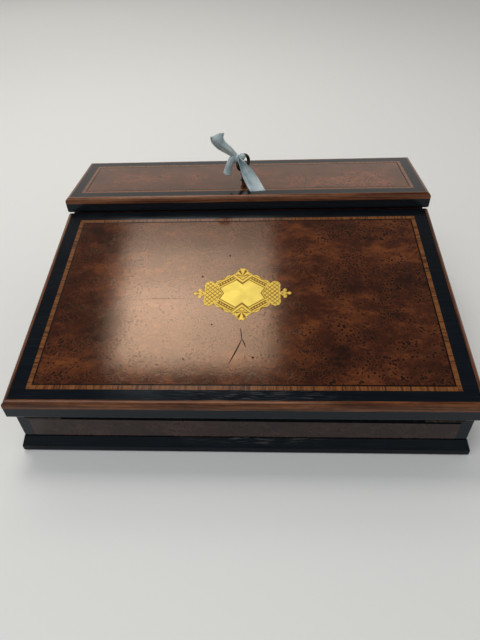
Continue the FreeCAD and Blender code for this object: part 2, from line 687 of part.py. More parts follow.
# Rear lid: the same build, laid level
rear_runs = (("front", f"2 * {lid_half}", f"-{lid_half}", rear_lid_front, "0"),
             ("right", f"{rear_lid_back} - {rear_lid_front}", lid_half, rear_lid_front, "90"),
             ("back", f"2 * {lid_half}", lid_half, rear_lid_back, "180"),
             ("left", f"{rear_lid_back} - {rear_lid_front}", f"-{lid_half}", rear_lid_back, "270"))
rear_edges = []
for side, length, x, y, angle in rear_runs:
    edge = moulding(f"rear_edge_{side}", edge_profile("rear_thickness", "0"), length, "edge_width",
                    "rear_thickness")
    rear_edges.append(place(edge, x, y, rear_lid_low, Z_AXIS, angle))
    rim = moulding(f"rear_rim_{side}_strip", rim_profile("rear_thickness", "0"), length, "rim_width",
                   "rear_thickness")
    place(rim, x, y, rear_lid_low, Z_AXIS, angle)
    if side == "back":
        rim = cut("rear_rim_back_cut", rim, rear_hinges["room"], rear_hinges["lid_leaves"],
                  rear_hinges["lid_screws"])
    node(f"rear_rim_{side}", rim)
node("rear_edge", group("rear_edge", *rear_edges))

# Lock: a plate and case under the rear lid, the bolt shooting forward into the divider
lock_front = f"({divider_back_y} + lock_swing_room)"
key_y = f"({lock_front} + lock_backset)"
lock_back = f"({key_y} + lock_tail)"
lock_length = f"({lock_back} - {lock_front})"
plate_low = f"({rear_lid_low} - lock_plate_thickness)"
case_low = f"({plate_low} - lock_height)"
case_floor = f"({case_low} + lock_wall)"
bolt_mid = f"({case_low} + lock_height / 2)"
bolt_front = f"({lock_front} + bolt_inset)"
bolt_low = f"({bolt_mid} - bolt_thickness / 2)"
keyhole_radius = "(shaft_radius + keyhole_room)"
slot_width = "(bit_thickness + 2 * keyhole_room)"


def keyhole(name, low, high, extra="0"):
    """A keyhole through a thickness: round for the shaft, with a slot behind it for the bit."""
    hole = cylinder(name + "_round", "key_x", key_y, low, f"{keyhole_radius} + {extra}", f"{high} - ({low})")
    slot = box(name + "_slot", f"key_x - {slot_width} / 2 - {extra}", key_y, low,
               f"{slot_width} + 2 * {extra}", f"bit_radius + keyhole_room + {extra}", f"{high} - ({low})")
    return fuse(name, hole, slot)


plate_half = "(lock_width / 2 + lock_plate_wing)"
screw_reach_x = f"({plate_half} - lock_plate_wing / 2)"
screw_reach_y = f"({lock_length} / 2 - lock_plate_wing / 2)"
lock_screws = [screw(f"lock_screw_{x_sign}_{y_sign}", f"key_x + {screw_reach_x} * {x_sign}",
                     f"({lock_front} + {lock_back}) / 2 + {screw_reach_y} * {y_sign}", plate_low, X_AXIS,
                     "180")
               for x_sign in ("-1", "1") for y_sign in ("-1", "1")]
lock_plate = box("lock_plate_blank", f"key_x - {plate_half}", lock_front, plate_low, f"2 * {plate_half}",
                 lock_length, "lock_plate_thickness")
node("lock_plate", cut("lock_plate", lock_plate, keyhole("lock_keyhole", plate_low, rear_lid_low),
                       *lock_screws))
case_block = box("lock_case_block", "key_x - lock_width / 2", lock_front, case_low, "lock_width", lock_length,
                 "lock_height")
case_hollow = box("lock_case_hollow", "key_x - lock_width / 2 + lock_wall", f"{lock_front} + lock_wall",
                  case_floor,
                  "lock_width - 2 * lock_wall", f"{lock_length} - 2 * lock_wall", "lock_height - lock_wall")
bolt_window = box("lock_bolt_window", "key_x - bolt_width / 2 - bolt_room", f"{lock_front} - bolt_room",
                  f"{bolt_low} - bolt_room", "bolt_width + 2 * bolt_room", "lock_wall + 2 * bolt_room",
                  "bolt_thickness + 2 * bolt_room")
drill_pin = cylinder("lock_drill_pin", "key_x", key_y, f"{case_floor} - lock_wall / 2", "drill_pin_radius",
                     "bore_depth - bit_lift")
node("lock_case", fuse("lock_case", cut("lock_case_shell", case_block, case_hollow, bolt_window), drill_pin))

# Bolt: a thick head in the lock's mouth and a thin tail whose notch takes the key's bit
bolt_head = box("bolt_head", "key_x - bolt_width / 2", bolt_front, bolt_low, "bolt_width", "bolt_head_length",
                "bolt_thickness")
tail_x = "(key_x + bit_radius * cos(45) - bit_thickness * 0.25)"
tail_y = f"({bolt_front} + bolt_head_length)"
tail_low = f"({bolt_mid} - bolt_tail_thickness / 2)"
tail_end = f"({lock_back} - lock_wall - 2 * bolt_room)"
bolt_tail = box("bolt_tail", tail_x, f"{tail_y} - bolt_room", tail_low, "bolt_tail_width",
                f"{tail_end} - {tail_y} + bolt_room", "bolt_tail_thickness")
notch_y = f"({key_y} + bit_radius * sin(45))"
bolt_notch = box("bolt_notch", f"{tail_x} - bolt_room", f"{notch_y} - notch_width / 2",
                 f"{tail_low} - bolt_room",
                 "notch_depth + bolt_room", "notch_width", "bolt_tail_thickness + 2 * bolt_room")
bolt_link = box("bolt_link", "key_x + bolt_width / 2 - bolt_tail_width", f"{tail_y} - bolt_room", tail_low,
                "bolt_tail_width", "2 * bolt_room", "bolt_tail_thickness")
node("lock_bolt", cut("lock_bolt", fuse("bolt_solid", bolt_head, bolt_tail, bolt_link), bolt_notch))

# Divider with the strike plate let into its back
strike_half = "(bolt_width / 2 + strike_wing)"
strike_screws = [screw(f"strike_screw_{sign}", f"key_x + ({strike_half} - strike_wing / 2) * {sign}",
                       divider_back_y, bolt_mid, X_AXIS, "-90") for sign in ("-1", "1")]
strike_blank = box("strike_blank", f"key_x - {strike_half}", f"{divider_back_y} - strike_thickness",
                   f"{bolt_mid} - strike_height / 2", f"2 * {strike_half}", "strike_thickness",
                   "strike_height")
bolt_mortise = box("bolt_mortise", "key_x - bolt_width / 2 - bolt_room", f"{divider_back_y} - mortise_depth",
                   f"{bolt_low} - bolt_room", "bolt_width + 2 * bolt_room", "mortise_depth",
                   "bolt_thickness + 2 * bolt_room")
divider_board = box("divider_board", f"-{inner_half}", divider_y, floor_top, f"2 * {inner_half}",
                    "divider_thickness", "compartment_depth")
node("divider", cut("divider", divider_board, strike_blank, bolt_mortise, *strike_screws))
node("strike_plate", cut("strike_plate", strike_blank, bolt_mortise, *strike_screws))

# Core and face of the rear lid
rear_face_low = f"({rear_lid_top} - veneer_thickness)"
rear_core_front = f"({rear_lid_front} + rim_width)"
rear_core_depth = f"({rear_lid_back} - {rear_lid_front} - 2 * rim_width)"
rear_board = box("rear_core_board", f"-{core_x}", rear_core_front, rear_lid_low, f"2 * {core_x}",
                 rear_core_depth, "rear_thickness - veneer_thickness")
node("rear_core", cut("rear_core", rear_board, rear_hinges["lid_leaves"], rear_hinges["lid_screws"],
                      keyhole("core_keyhole", rear_lid_low, rear_face_low), *lock_screws))
bands_x = border_out_x
bands_front = f"({rear_lid_front} + edge_width)"
bands_back = f"({rear_lid_back} - edge_width)"
for band in ("rear_border", "rear_crossband", "rear_stringing"):
    node(band, group(band, *flat_frame(band, f"-{bands_x}", bands_x, bands_front, bands_back, (band,) * 4,
                                       rear_face_low, "veneer_thickness")))
    bands_x = f"({bands_x} - {band})"
    bands_front = f"({bands_front} + {band})"
    bands_back = f"({bands_back} - {band})"
rear_sheet = box("rear_burr_sheet", f"-{bands_x}", bands_front, rear_face_low, f"2 * {bands_x}",
                 f"{bands_back} - {bands_front}", "veneer_thickness")
escutcheon_blank = keyhole("escutcheon_blank", rear_face_low, rear_lid_top, "escutcheon_rim")
node("rear_burr", cut("rear_burr", rear_sheet, escutcheon_blank))
node("escutcheon", cut("escutcheon", escutcheon_blank, keyhole("escutcheon_hole", rear_face_low,
                                                               rear_lid_top)))

# Key: a bored shaft with a bit, a collar and a ring bow, turned as it stands in the lock
key_low = f"({case_floor} + key_lift)"
bow_mid = f"({rear_lid_top} + bow_height)"
shaft = cylinder("key_shaft", "0", "0", key_low, "shaft_radius", f"{bow_mid} - bow_radius - {key_low}")
bit = box("key_bit", "0", "-bit_thickness / 2", f"{key_low} + bit_lift", "bit_radius", "bit_thickness",
          "bit_height")
collar = cylinder("key_collar", "0", "0", f"{rear_lid_top} + collar_lift", "collar_radius", "collar_height")
bow = doc.addObject("Part::Torus", "key_bow")
bind(bow, Radius1="bow_radius", Radius2="bow_wire")
place(bow, "0", "0", bow_mid, X_AXIS, "90")
bore = cylinder("key_bore", "0", "0", key_low, "bore_radius", "bore_depth")
key = cut("key", fuse("key_solid", shaft, bit, collar, bow), bore)
node("key", place(key, "key_x", key_y, "0", Z_AXIS, "key_angle"))

# Ribbon: a knot round the bow, a loop standing up to the left and two tails, as plain solids.
# Its directions are in ribbon widths from the knot, and the right tail ends just over the lid.
ribbon_width = number("ribbon_width")
ribbon_thickness = number("ribbon_thickness")
bow_centre = Vector(0, 0, number("bow_height"))
knot_side = Rotation(Z_AXIS, number("key_angle")).multVec(Vector(-1, 0, 0.65)).normalize()
knot = bow_centre + knot_side * (number("bow_radius") + number("bow_wire"))
loop_end = knot + Vector(-1.37, -0.35, 2.0) * ribbon_width
left_end = knot + Vector(-0.87, -0.51, -0.88) * ribbon_width
right_end = knot + Vector(1.51, -1.82, 0) * ribbon_width
right_end.z = number("ribbon_thickness + ribbon_room")


def ribbon_slab(end, edge, thickness):
    """A flat tapering slab from the knot to an end edge of the ribbon's full width."""
    across = edge.normalize()
    narrow = across * (ribbon_width * 0.25)
    wide = across * (ribbon_width * 0.5)
    side = across.cross(end - knot).normalize() * thickness
    loop = [knot - narrow, knot + narrow, end + wide, end - wide]
    face = Part.Face(Part.makePolygon([point - side * 0.5 for point in loop + loop[:1]]))
    return face.extrude(side)


ring = Part.makeTorus(number("bow_radius"), number("bow_wire + ribbon_room"), bow_centre, Y_AXIS)
ring.rotate(bow_centre, Z_AXIS, number("key_angle"))
stem = Part.makeCylinder(number("collar_radius + ribbon_room"), number("bow_height"))
ribbon = Part.makeSphere(number("knot_size / 2"), knot).fuse([
    ribbon_slab(loop_end, Vector(1.1, 0.4, 0.27), 3 * ribbon_thickness),
    ribbon_slab(left_end, Vector(0.6, 0.0, -0.4), ribbon_thickness),
    ribbon_slab(right_end, Vector(1.51, -0.16, 0.0), ribbon_thickness)])
ribbon_item = doc.addObject("Part::Feature", "key_ribbon")
ribbon_item.Shape = ribbon.cut([ring, stem])
place(ribbon_item, "key_x", key_y, rear_lid_top)
node("key_ribbon", ribbon_item)

# Hinges, pins and screws
node("slope_hinge_case_leaves", slope_hinges["case_leaves"])
node("slope_hinge_lid_leaves", slope_hinges["lid_leaves"])
node("rear_hinge_case_leaves", rear_hinges["case_leaves"])
node("rear_hinge_lid_leaves", rear_hinges["lid_leaves"])
node("hinge_pins", group("hinge_pins", slope_hinges["pins"], rear_hinges["pins"]))
node("case_screws", group("case_screws", slope_hinges["case_screws"], rear_hinges["case_screws"],
                          *strike_screws))
node("slope_lid_screws", slope_hinges["lid_screws"])
node("rear_lid_screws", group("rear_lid_screws", rear_hinges["lid_screws"], *lock_screws))

doc.recompute()
for item in doc.Objects:
    if "Invalid" in item.State or "Error" in item.State:
        raise RuntimeError(f"{item.Name} failed: {item.State}")
for item in NODES:
    if item.Shape.isNull() or not item.Shape.isValid() or not item.Shape.Solids:
        raise RuntimeError(f"{item.Label} has no valid solid")
os.makedirs("parts", exist_ok=True)
for item in NODES:
    item.Shape.exportStep(f"parts/{item.Label}.step")
print(len(NODES), "nodes,", sum(len(item.Shape.Solids) for item in NODES), "solids")
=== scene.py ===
import bpy
import numpy as np
from mathutils import Matrix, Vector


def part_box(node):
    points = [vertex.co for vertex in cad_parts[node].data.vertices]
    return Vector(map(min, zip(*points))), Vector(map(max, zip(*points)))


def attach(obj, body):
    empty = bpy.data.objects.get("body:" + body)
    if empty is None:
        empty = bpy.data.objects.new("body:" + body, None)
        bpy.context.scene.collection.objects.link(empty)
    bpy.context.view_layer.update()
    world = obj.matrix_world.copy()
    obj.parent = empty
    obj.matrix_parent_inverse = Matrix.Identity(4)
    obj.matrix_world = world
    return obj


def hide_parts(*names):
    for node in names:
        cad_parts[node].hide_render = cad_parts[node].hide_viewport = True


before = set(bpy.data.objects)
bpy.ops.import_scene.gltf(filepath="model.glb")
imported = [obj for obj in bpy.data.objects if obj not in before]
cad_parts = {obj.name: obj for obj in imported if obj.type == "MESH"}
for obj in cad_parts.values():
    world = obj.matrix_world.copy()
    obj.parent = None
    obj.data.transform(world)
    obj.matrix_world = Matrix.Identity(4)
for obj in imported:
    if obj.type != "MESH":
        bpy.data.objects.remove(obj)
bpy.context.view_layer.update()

# Carcass: the walls, bottom, divider and partitions of the case, and the pen tray that lies in it.
# Mahogany boards, planed, butted at the corners and glued, with a thin polish. To the eye it is a warm
# red-brown with long soft grain lines and a dull shine.
MM = 0.001


def linear(hex_colour):
    """sRGB hex to linear RGBA: c / 12.92 below 0.04045, else ((c + 0.055) / 1.055) ** 2.4."""
    srgb = np.array([int(hex_colour[i:i + 2], 16) for i in (1, 3, 5)]) / 255
    low, high = srgb / 12.92, ((srgb + 0.055) / 1.055) ** 2.4
    return (*np.where(srgb < 0.04045, low, high).tolist(), 1.0)


def add(tree, kind, inputs=(), stops=(), **settings):
    """Add a shader node: set its properties, set or link its inputs, and give a colour ramp its stops."""
    node = tree.nodes.new("ShaderNode" + kind)
    for name, value in settings.items():
        setattr(node, name, value)
    for key, value in dict(inputs).items():
        if isinstance(value, bpy.types.Node):
            value = value.outputs[0]
        if isinstance(value, bpy.types.NodeSocket):
            tree.links.new(value, node.inputs[key])
        else:
            node.inputs[key].default_value = value
    if stops:
        elements = node.color_ramp.elements
        while len(elements) < len(stops):
            elements.new(0.5)
        for element, (position, colour) in zip(elements, stops):
            element.position = position
            element.color = linear(colour)
    return node


def start_finish(name):
    """A new material without nodes, and its node tree."""
    material = bpy.data.materials.new(name)
    material.use_nodes = True
    material.node_tree.nodes.clear()
    return material, material.node_tree


def lay_on(tree, inputs):
    """End a material with one Principled shader that has these inputs."""
    add(tree, "OutputMaterial", {"Surface": add(tree, "BsdfPrincipled", inputs)})


def grain_space(tree, along, across):
    """Object coordinates counted in grain lengths along X and in grain widths across it."""
    place = add(tree, "TexCoord").outputs["Object"]
    return add(tree, "Mapping", {"Vector": place, "Scale": (1 / along, 1 / across, 1 / across)})


def dress(material, *nodes):
    """Put a material on CAD nodes."""
    for name in nodes:
        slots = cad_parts[name].material_slots
        for slot in slots:
            slot.material = material
        if not slots:
            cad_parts[name].data.materials.append(material)


def planed_wood(name, dark, mid, light, grain_length, grain_width, roughness, depth, shine=0.5):
    """Straight-grained wood: 0.75 of a stretched noise for the figure plus a finer one for the pores,
    scaled to about 0 to 1. The pores are also cut into the surface, to the given depth."""
    pore_length, pore_width = 6 * MM, 0.35 * MM
    material, tree = start_finish(name)
    figure = add(tree, "TexNoise", {"Vector": grain_space(tree, grain_length, grain_width), "Scale": 1.0,
                                    "Detail": 5.0, "Roughness": 0.6, "Distortion": 0.6})
    pores = add(tree, "TexNoise", {"Vector": grain_space(tree, pore_length, pore_width), "Scale": 1.0,
                                   "Detail": 2.0})
    both = add(tree, "Math", {0: figure, 1: 0.75, 2: pores}, operation="MULTIPLY_ADD")
    tone = add(tree, "Math", {0: both, 1: 0.57}, operation="MULTIPLY")
    colour = add(tree, "ValToRGB", {"Fac": tone}, ((0.30, dark), (0.50, mid), (0.70, light)))
    bump = add(tree, "Bump", {"Height": pores, "Strength": 0.25, "Distance": depth})
    lay_on(tree, {"Base Color": colour, "Normal": bump, "Roughness": roughness, "Specular IOR Level": shine})
    return material


mahogany = planed_wood("polished mahogany", "#3a180c", "#5c2a16", "#7a4024", 90 * MM, 3.5 * MM, 0.38,
                       0.05 * MM)
dress(mahogany, "bottom_board", "front_wall", "left_wall", "right_wall", "divider", "compartment_floor",
      "partitions", "pen_tray")

# Black mouldings: the plinth, the lids' rims and borders, the corner bands and the plain back.
# Pearwood stained black, glued on with mitred corners and french polished. To the eye it is a blue-black
# with a soft mirror, rubbed where hands and cloths have worn the front; the grey of the rubs is partly
# wear and partly painted highlight for the glints along the plinth's top and the border's front.
mix_a, mix_b, mix_colour = 6, 7, 2  # a colour mix's two inputs and its output, by number


def ebonised_wood(name, shine, wear_glint_low, wear_glint_high, wear_glint_middle, wear_glint_reach):
    """Black polish with faint grain, and rubs that dull the gloss.

    Fine grey scuffs grow from none to full between two heights, and fade with the distance from a middle
    along X; their grey is partly wear and partly painted highlight for glints. They are drawn 0.8 mm wide,
    coarser than real ones, so that they show."""
    material, tree = start_finish(name)
    place = add(tree, "TexCoord").outputs["Object"]
    grain = add(tree, "TexNoise", {"Vector": grain_space(tree, 30 * MM, 1.2 * MM), "Scale": 1.0,
                                   "Detail": 3.0})
    black = add(tree, "ValToRGB", {"Fac": grain}, ((0.3, "#06090d"), (0.6, "#0c1015"), (0.8, "#15181c")))
    split = add(tree, "SeparateXYZ", {"Vector": place})
    scuff_and_glint = add(tree, "TexNoise", {"Vector": grain_space(tree, 12 * MM, 0.8 * MM), "Scale": 1.0,
                                   "Detail": 4.0})
    scuff_and_glint = add(tree, "ValToRGB", {"Fac": scuff_and_glint}, ((0.52, "#000000"), (0.74, "#ffffff")))
    high = add(tree, "MapRange", {"Value": split.outputs["Z"], "From Min": wear_glint_low, "From Max": wear_glint_high})
    off = add(tree, "Math", {0: split.outputs["X"], 1: wear_glint_middle}, operation="SUBTRACT")
    off = add(tree, "Math", {0: off}, operation="ABSOLUTE")
    near = add(tree, "MapRange", {"Value": off, "From Min": wear_glint_reach, "From Max": 0.0})
    wear_and_glint = add(tree, "Math", {0: near, 1: high}, operation="MULTIPLY")
    wear_and_glint = add(tree, "Math", {0: wear_and_glint, 1: scuff_and_glint}, operation="MULTIPLY")
    # The grey mixed in is partly rubbed polish and partly painted highlight, standing for glints.
    colour = add(tree, "Mix", {"Factor": wear_and_glint, mix_a: black.outputs[0], mix_b: linear("#5e5d5a")},
                 data_type="RGBA")
    rubs = add(tree, "TexNoise", {"Vector": place, "Scale": 1 / (26 * MM), "Detail": 6.0,
                                  "Roughness": 0.65})
    gloss = add(tree, "MapRange", {"Value": rubs, "From Min": 0.3, "From Max": 0.75, "To Min": 0.1,
                                   "To Max": 0.2})
    bump = add(tree, "Bump", {"Height": grain, "Strength": 0.12, "Distance": 0.05 * MM})
    lay_on(tree, {"Base Color": colour.outputs[mix_colour], "Roughness": gloss, "Normal": bump,
                  "Specular IOR Level": shine, "Specular Tint": linear("#d3e4f4")})
    return material


plinth_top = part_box("plinth_front")[1].z
border_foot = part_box("slope_border")[0].z
no_wear_glints = 0.0, 1.0, 1.0, 0.1  # the scuffs' middle lies a metre off, so none show
dress(ebonised_wood("ebonised pearwood", 0.3, *no_wear_glints),
      "plinth_left", "plinth_right", "plinth_back", "back_wall", "corner_bands", "rear_border",
      "slope_rim_front", "slope_rim_left", "slope_rim_right", "slope_rim_rear",
      "rear_rim_front", "rear_rim_left", "rear_rim_right", "rear_rim_back")
# The foot and the border carry the grey scuffs: partly wear, partly painted highlight.
dress(ebonised_wood("ebonised pearwood, rubbed foot, painted glints", 0.13, 0.5 * plinth_top, 0.95 * plinth_top,
                    14 * MM, 66 * MM), "plinth_front")
dress(ebonised_wood("ebonised pearwood, rubbed border, painted glints", 0.3, border_foot + 6 * MM, border_foot,
                    4 * MM, 90 * MM), "slope_border")

# Burr veneer: the case's front and sides, and the panels of both lids.
# Burr walnut, sawn thin, glued on the boards and french polished. To the eye it is a swirling dark brown
# with crowds of small dark eyes, under an aged amber polish that warms what it mirrors.


def burr_veneer(name, dark, mid, light, shine, polish):
    """Mottled figure drawn out along X, from a place warped by a slow noise.

    Eyes are dark dots with pale rings round a cell pattern's centres, kept where a crowd noise is high.
    The surface is 1 of fine pits less 0.2 of the eyes, over a slow swell."""
    eye, crowd_size, swirl, pit = 3.2 * MM, 22 * MM, 24 * MM, 1.3 * MM
    material, tree = start_finish(name)
    place = add(tree, "TexCoord").outputs["Object"]

    sway = add(tree, "TexNoise", {"Vector": place, "Scale": 1 / swirl, "Detail": 3.0})
    centred = add(tree, "VectorMath", {0: sway.outputs["Color"], 1: (0.5, 0.5, 0.5)}, operation="SUBTRACT")
    shift = add(tree, "VectorMath", {0: centred, "Scale": 14 * MM}, operation="SCALE")
    warped = add(tree, "VectorMath", {0: place, 1: shift}, operation="ADD")

    drawn = add(tree, "Mapping", {"Vector": warped, "Scale": (0.6, 1.0, 1.0)})
    clouds = add(tree, "TexNoise", {"Vector": drawn, "Scale": 1 / (34 * MM), "Detail": 3.0})
    figure = add(tree, "TexNoise", {"Vector": drawn, "Scale": 1 / (9 * MM), "Detail": 8.0,
                                    "Roughness": 0.78})
    tone = add(tree, "Math", {0: clouds, 1: 0.8, 2: figure}, operation="MULTIPLY_ADD")
    tone = add(tree, "Math", {0: tone, 1: 0.555}, operation="MULTIPLY")
    colour = add(tree, "ValToRGB", {"Fac": tone}, ((0.37, dark), (0.50, mid), (0.64, light)))

    cells = add(tree, "TexVoronoi", {"Vector": warped, "Scale": 1 / eye, "Randomness": 1.0})
    dots = add(tree, "MapRange", {"Value": cells, "From Min": 0.27, "From Max": 0.42, "To Min": 1.0,
                                  "To Max": 0.0})
    rings = add(tree, "ValToRGB", {"Fac": cells}, ((0.36, "#000000"), (0.48, "#ffffff"), (0.66, "#000000")))
    crowd = add(tree, "TexNoise", {"Vector": place, "Scale": 1 / crowd_size, "Detail": 4.0,
                                   "Roughness": 0.65})
    crowd = add(tree, "MapRange", {"Value": crowd, "From Min": 0.42, "From Max": 0.54})
    eyes = add(tree, "Math", {0: dots, 1: crowd}, operation="MULTIPLY")
    rings = add(tree, "Math", {0: rings, 1: crowd}, operation="MULTIPLY")
    rings = add(tree, "Math", {0: rings, 1: 0.4}, operation="MULTIPLY")
    colour = add(tree, "Mix", {"Factor": rings, mix_a: colour, mix_b: linear(light)}, data_type="RGBA")
    colour = add(tree, "Mix", {"Factor": eyes, mix_a: colour.outputs[mix_colour], mix_b: linear("#120604")},
                 data_type="RGBA")

    pits = add(tree, "TexNoise", {"Vector": warped, "Scale": 1 / pit, "Detail": 4.0, "Roughness": 0.7})
    swell = add(tree, "TexNoise", {"Vector": place, "Scale": 1 / crowd_size, "Detail": 2.0})
    sunk = add(tree, "Math", {0: eyes, 1: -0.2, 2: pits}, operation="MULTIPLY_ADD")
    bump = add(tree, "Bump", {"Height": sunk, "Strength": 0.46, "Distance": 0.06 * MM})
    bump = add(tree, "Bump", {"Height": swell, "Strength": 0.2, "Distance": 0.3 * MM, "Normal": bump})
    gloss = add(tree, "Math", {0: eyes, 1: 0.07, 2: 0.1}, operation="MULTIPLY_ADD")
    lay_on(tree, {"Base Color": colour.outputs[mix_colour], "Roughness": gloss, "Normal": bump,
                  "Specular IOR Level": shine, "Specular Tint": linear(polish),
                  "Coat Weight": 0.1, "Coat Roughness": 0.06, "Coat Normal": bump})
    return material


amber, clear = "#ffd2ae", "#ffece2"
dress(burr_veneer("burr walnut veneer, slope", "#170806", "#3b1a0f", "#6c3a1e", 0.62, amber), "slope_burr")
dress(burr_veneer("burr walnut veneer, rear lid", "#200d08", "#4a2416", "#774028", 0.62, amber), "rear_burr")
# The case's copy is darker than the lids': painted shade for the front and sides, which stand in shade.
dress(burr_veneer("burr walnut veneer, case, painted shade", "#0b0505", "#241513", "#472f28", 0.36, clear),
      "front_veneer", "left_veneer", "right_veneer")

# Paper lining of the well: a sheet of marbled paper, pasted on the bottom board.
# To the eye it is dull blue-grey, in soft spots the size of a marbler's drops.
paper, tree = start_finish("marbled lining paper")
drops = add(tree, "TexVoronoi", {"Vector": add(tree, "TexCoord").outputs["Object"], "Scale": 1 / (9 * MM)})
colour = add(tree, "ValToRGB", {"Fac": drops}, ((0.15, "#39424f"), (0.5, "#5b6674"), (0.8, "#86908f")))
lay_on(tree, {"Base Color": colour, "Roughness": 0.9})
dress(paper, "well_lining")

# Ink bottles: square bottles of cut glass, one standing loose in each end of the rear compartment.
# To the eye the glass is clear and faintly green, with slow waves left by the moulding.
glass, tree = start_finish("cut glass")
waves = add(tree, "TexNoise", {"Vector": add(tree, "TexCoord").outputs["Object"], "Scale": 1 / (11 * MM)})
bump = add(tree, "Bump", {"Height": waves, "Strength": 0.1, "Distance": 0.2 * MM})
lay_on(tree, {"Base Color": linear("#e9f1ec"), "Roughness": 0.03, "IOR": 1.52, "Transmission Weight": 1.0,
              "Normal": bump})
dress(glass, "ink_bottle_left", "ink_bottle_right")

# Brass fittings: the bottles' caps, the lock, its strike plate, the hinge leaves and the escutcheon.
# Cast and rolled brass, filed smooth, let in flush and screwed. To the eye the inner parts are a mellow
# yellow under old lacquer, and the hinges have gone almost black; the escutcheon is given the same
# near-black as painted shade, for the ribbon's shadow over it.


def aged_brass(name, bright, dull, roughness, spots):
    """A metal whose colour and gloss drift together from bright to tarnished, with fine rubbing lines."""
    material, tree = start_finish(name)
    place = add(tree, "TexCoord").outputs["Object"]
    tarnish = add(tree, "TexNoise", {"Vector": place, "Scale": 1 / spots, "Detail": 5.0, "Roughness": 0.65})
    colour = add(tree, "ValToRGB", {"Fac": tarnish}, ((0.35, bright), (0.7, dull)))
    gloss = add(tree, "MapRange", {"Value": tarnish, "From Min": 0.3, "From Max": 0.7,
                                   "To Min": roughness, "To Max": roughness + 0.18})
    lines = add(tree, "TexNoise", {"Vector": grain_space(tree, 9 * MM, 0.25 * MM), "Scale": 1.0,
                                   "Detail": 2.0})
    bump = add(tree, "Bump", {"Height": lines, "Strength": 0.08, "Distance": 0.02 * MM})
    lay_on(tree, {"Base Color": colour, "Metallic": 1.0, "Roughness": gloss, "Normal": bump})
    return material


dress(aged_brass("polished brass", "#d8b25c", "#9a7634", 0.22, 7 * MM),
      "ink_cap_left", "ink_cap_right", "lock_case", "lock_plate", "lock_bolt", "strike_plate")
# Near-black: tarnish on the hinge leaves, painted shade for the ribbon's shadow on the escutcheon.
dress(aged_brass("tarnished brass, painted shade on the escutcheon", "#3c352e", "#1a1613", 0.42, 3 * MM),
      "slope_hinge_case_leaves", "slope_hinge_lid_leaves", "rear_hinge_case_leaves",
      "rear_hinge_lid_leaves", "escutcheon")

# Lid cores: the boards that carry the veneer, seen only from under the open lids.
# Pine, planed and left unpolished. To the eye it is pale and matt, with broad straight grain.
dress(planed_wood("planed pine", "#7a5230", "#a67a4c", "#c29a68", 120 * MM, 5 * MM, 0.6, 0.06 * MM),
      "slope_core", "rear_core")

# Lid edges: rounded strips along the top edges of both lids, let into the rims and mitred.
# Tulipwood, scraped round and polished. To the eye it is red-brown, in long dark and light streaks.
strip_a, strip_b = 2, 3  # a number mix's two inputs, by number


def strip_space(tree, node, pitch, along_size, across_size):
    """Coordinates along, across and up on a frame of strips, so that one unit is one size of the grain.

    A point is on a side strip where it lies nearer to the frame's left or right edge than to its front or
    rear. Y runs along the side strips, and X along the others. Up is the height over a plane that rises
    by pitch along Y."""
    low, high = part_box(node)
    split = add(tree, "SeparateXYZ", {"Vector": add(tree, "TexCoord").outputs["Object"]})
    x, y = split.outputs["X"], split.outputs["Y"]
    from_middle = add(tree, "Math", {0: x}, operation="ABSOLUTE")
    to_side = add(tree, "Math", {0: high.x, 1: from_middle}, operation="SUBTRACT")
    to_front = add(tree, "Math", {0: y, 1: low.y}, operation="SUBTRACT")
    to_rear = add(tree, "Math", {0: high.y, 1: y}, operation="SUBTRACT")
    to_end = add(tree, "Math", {0: to_front, 1: to_rear}, operation="MINIMUM")
    on_side = add(tree, "Math", {0: to_side, 1: to_end}, operation="LESS_THAN")
    along = add(tree, "Mix", {"Factor": on_side, strip_a: x, strip_b: y}, data_type="FLOAT")
    across = add(tree, "Mix", {"Factor": on_side, strip_a: y, strip_b: x}, data_type="FLOAT")
    up = add(tree, "Math", {0: y, 1: -pitch, 2: split.outputs["Z"]}, operation="MULTIPLY_ADD")
    strip = add(tree, "CombineXYZ", {"X": along, "Y": across, "Z": up})
    scale = (1 / along_size, 1 / across_size, 1 / across_size)
    return add(tree, "Mapping", {"Vector": strip, "Scale": scale})


def tulipwood(name, node, pitch, dark, mid, light):
    """Three parts of long streaks that run along each strip, and one part of a finer mottling."""
    material, tree = start_finish(name)
    streaks = add(tree, "TexNoise", {"Vector": strip_space(tree, node, pitch, 60 * MM, 1.5 * MM),
                                     "Scale": 1.0, "Detail": 4.0})
    patches = add(tree, "TexNoise", {"Vector": strip_space(tree, node, pitch, 9 * MM, 2 * MM),
                                     "Scale": 1.0, "Detail": 4.0})
    tone = add(tree, "Math", {0: streaks, 1: 3.0, 2: patches}, operation="MULTIPLY_ADD")
    tone = add(tree, "Math", {0: tone, 1: 0.25}, operation="MULTIPLY")
    colour = add(tree, "ValToRGB", {"Fac": tone}, ((0.36, dark), (0.5, mid), (0.64, light)))
    bump = add(tree, "Bump", {"Height": streaks, "Strength": 0.15, "Distance": 0.04 * MM})
    lay_on(tree, {"Base Color": colour, "Normal": bump, "Roughness": 0.18, "Specular IOR Level": 0.45,
                  "Specular Tint": linear("#ffd8bc")})
    return material


panel_low, panel_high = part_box("slope_burr")
slope_pitch = (panel_high.z - panel_low.z) / (panel_high.y - panel_low.y)
level = 0.0
dress(tulipwood("tulipwood edging, slope", "slope_edge", slope_pitch, "#2e150b", "#4f2b19", "#72462b"),
      "slope_edge")
dress(tulipwood("tulipwood edging, rear lid", "rear_edge", level, "#34180d", "#58311d", "#78492f"),
      "rear_edge")

# Crossbanding and stringing: two narrow bands inlaid round each lid's panel, flush with the veneer.
# The outer is tulipwood with its grain across the band, to the eye a row of fine golden-brown stripes.
# The inner is a thin rosewood line, nearly black.


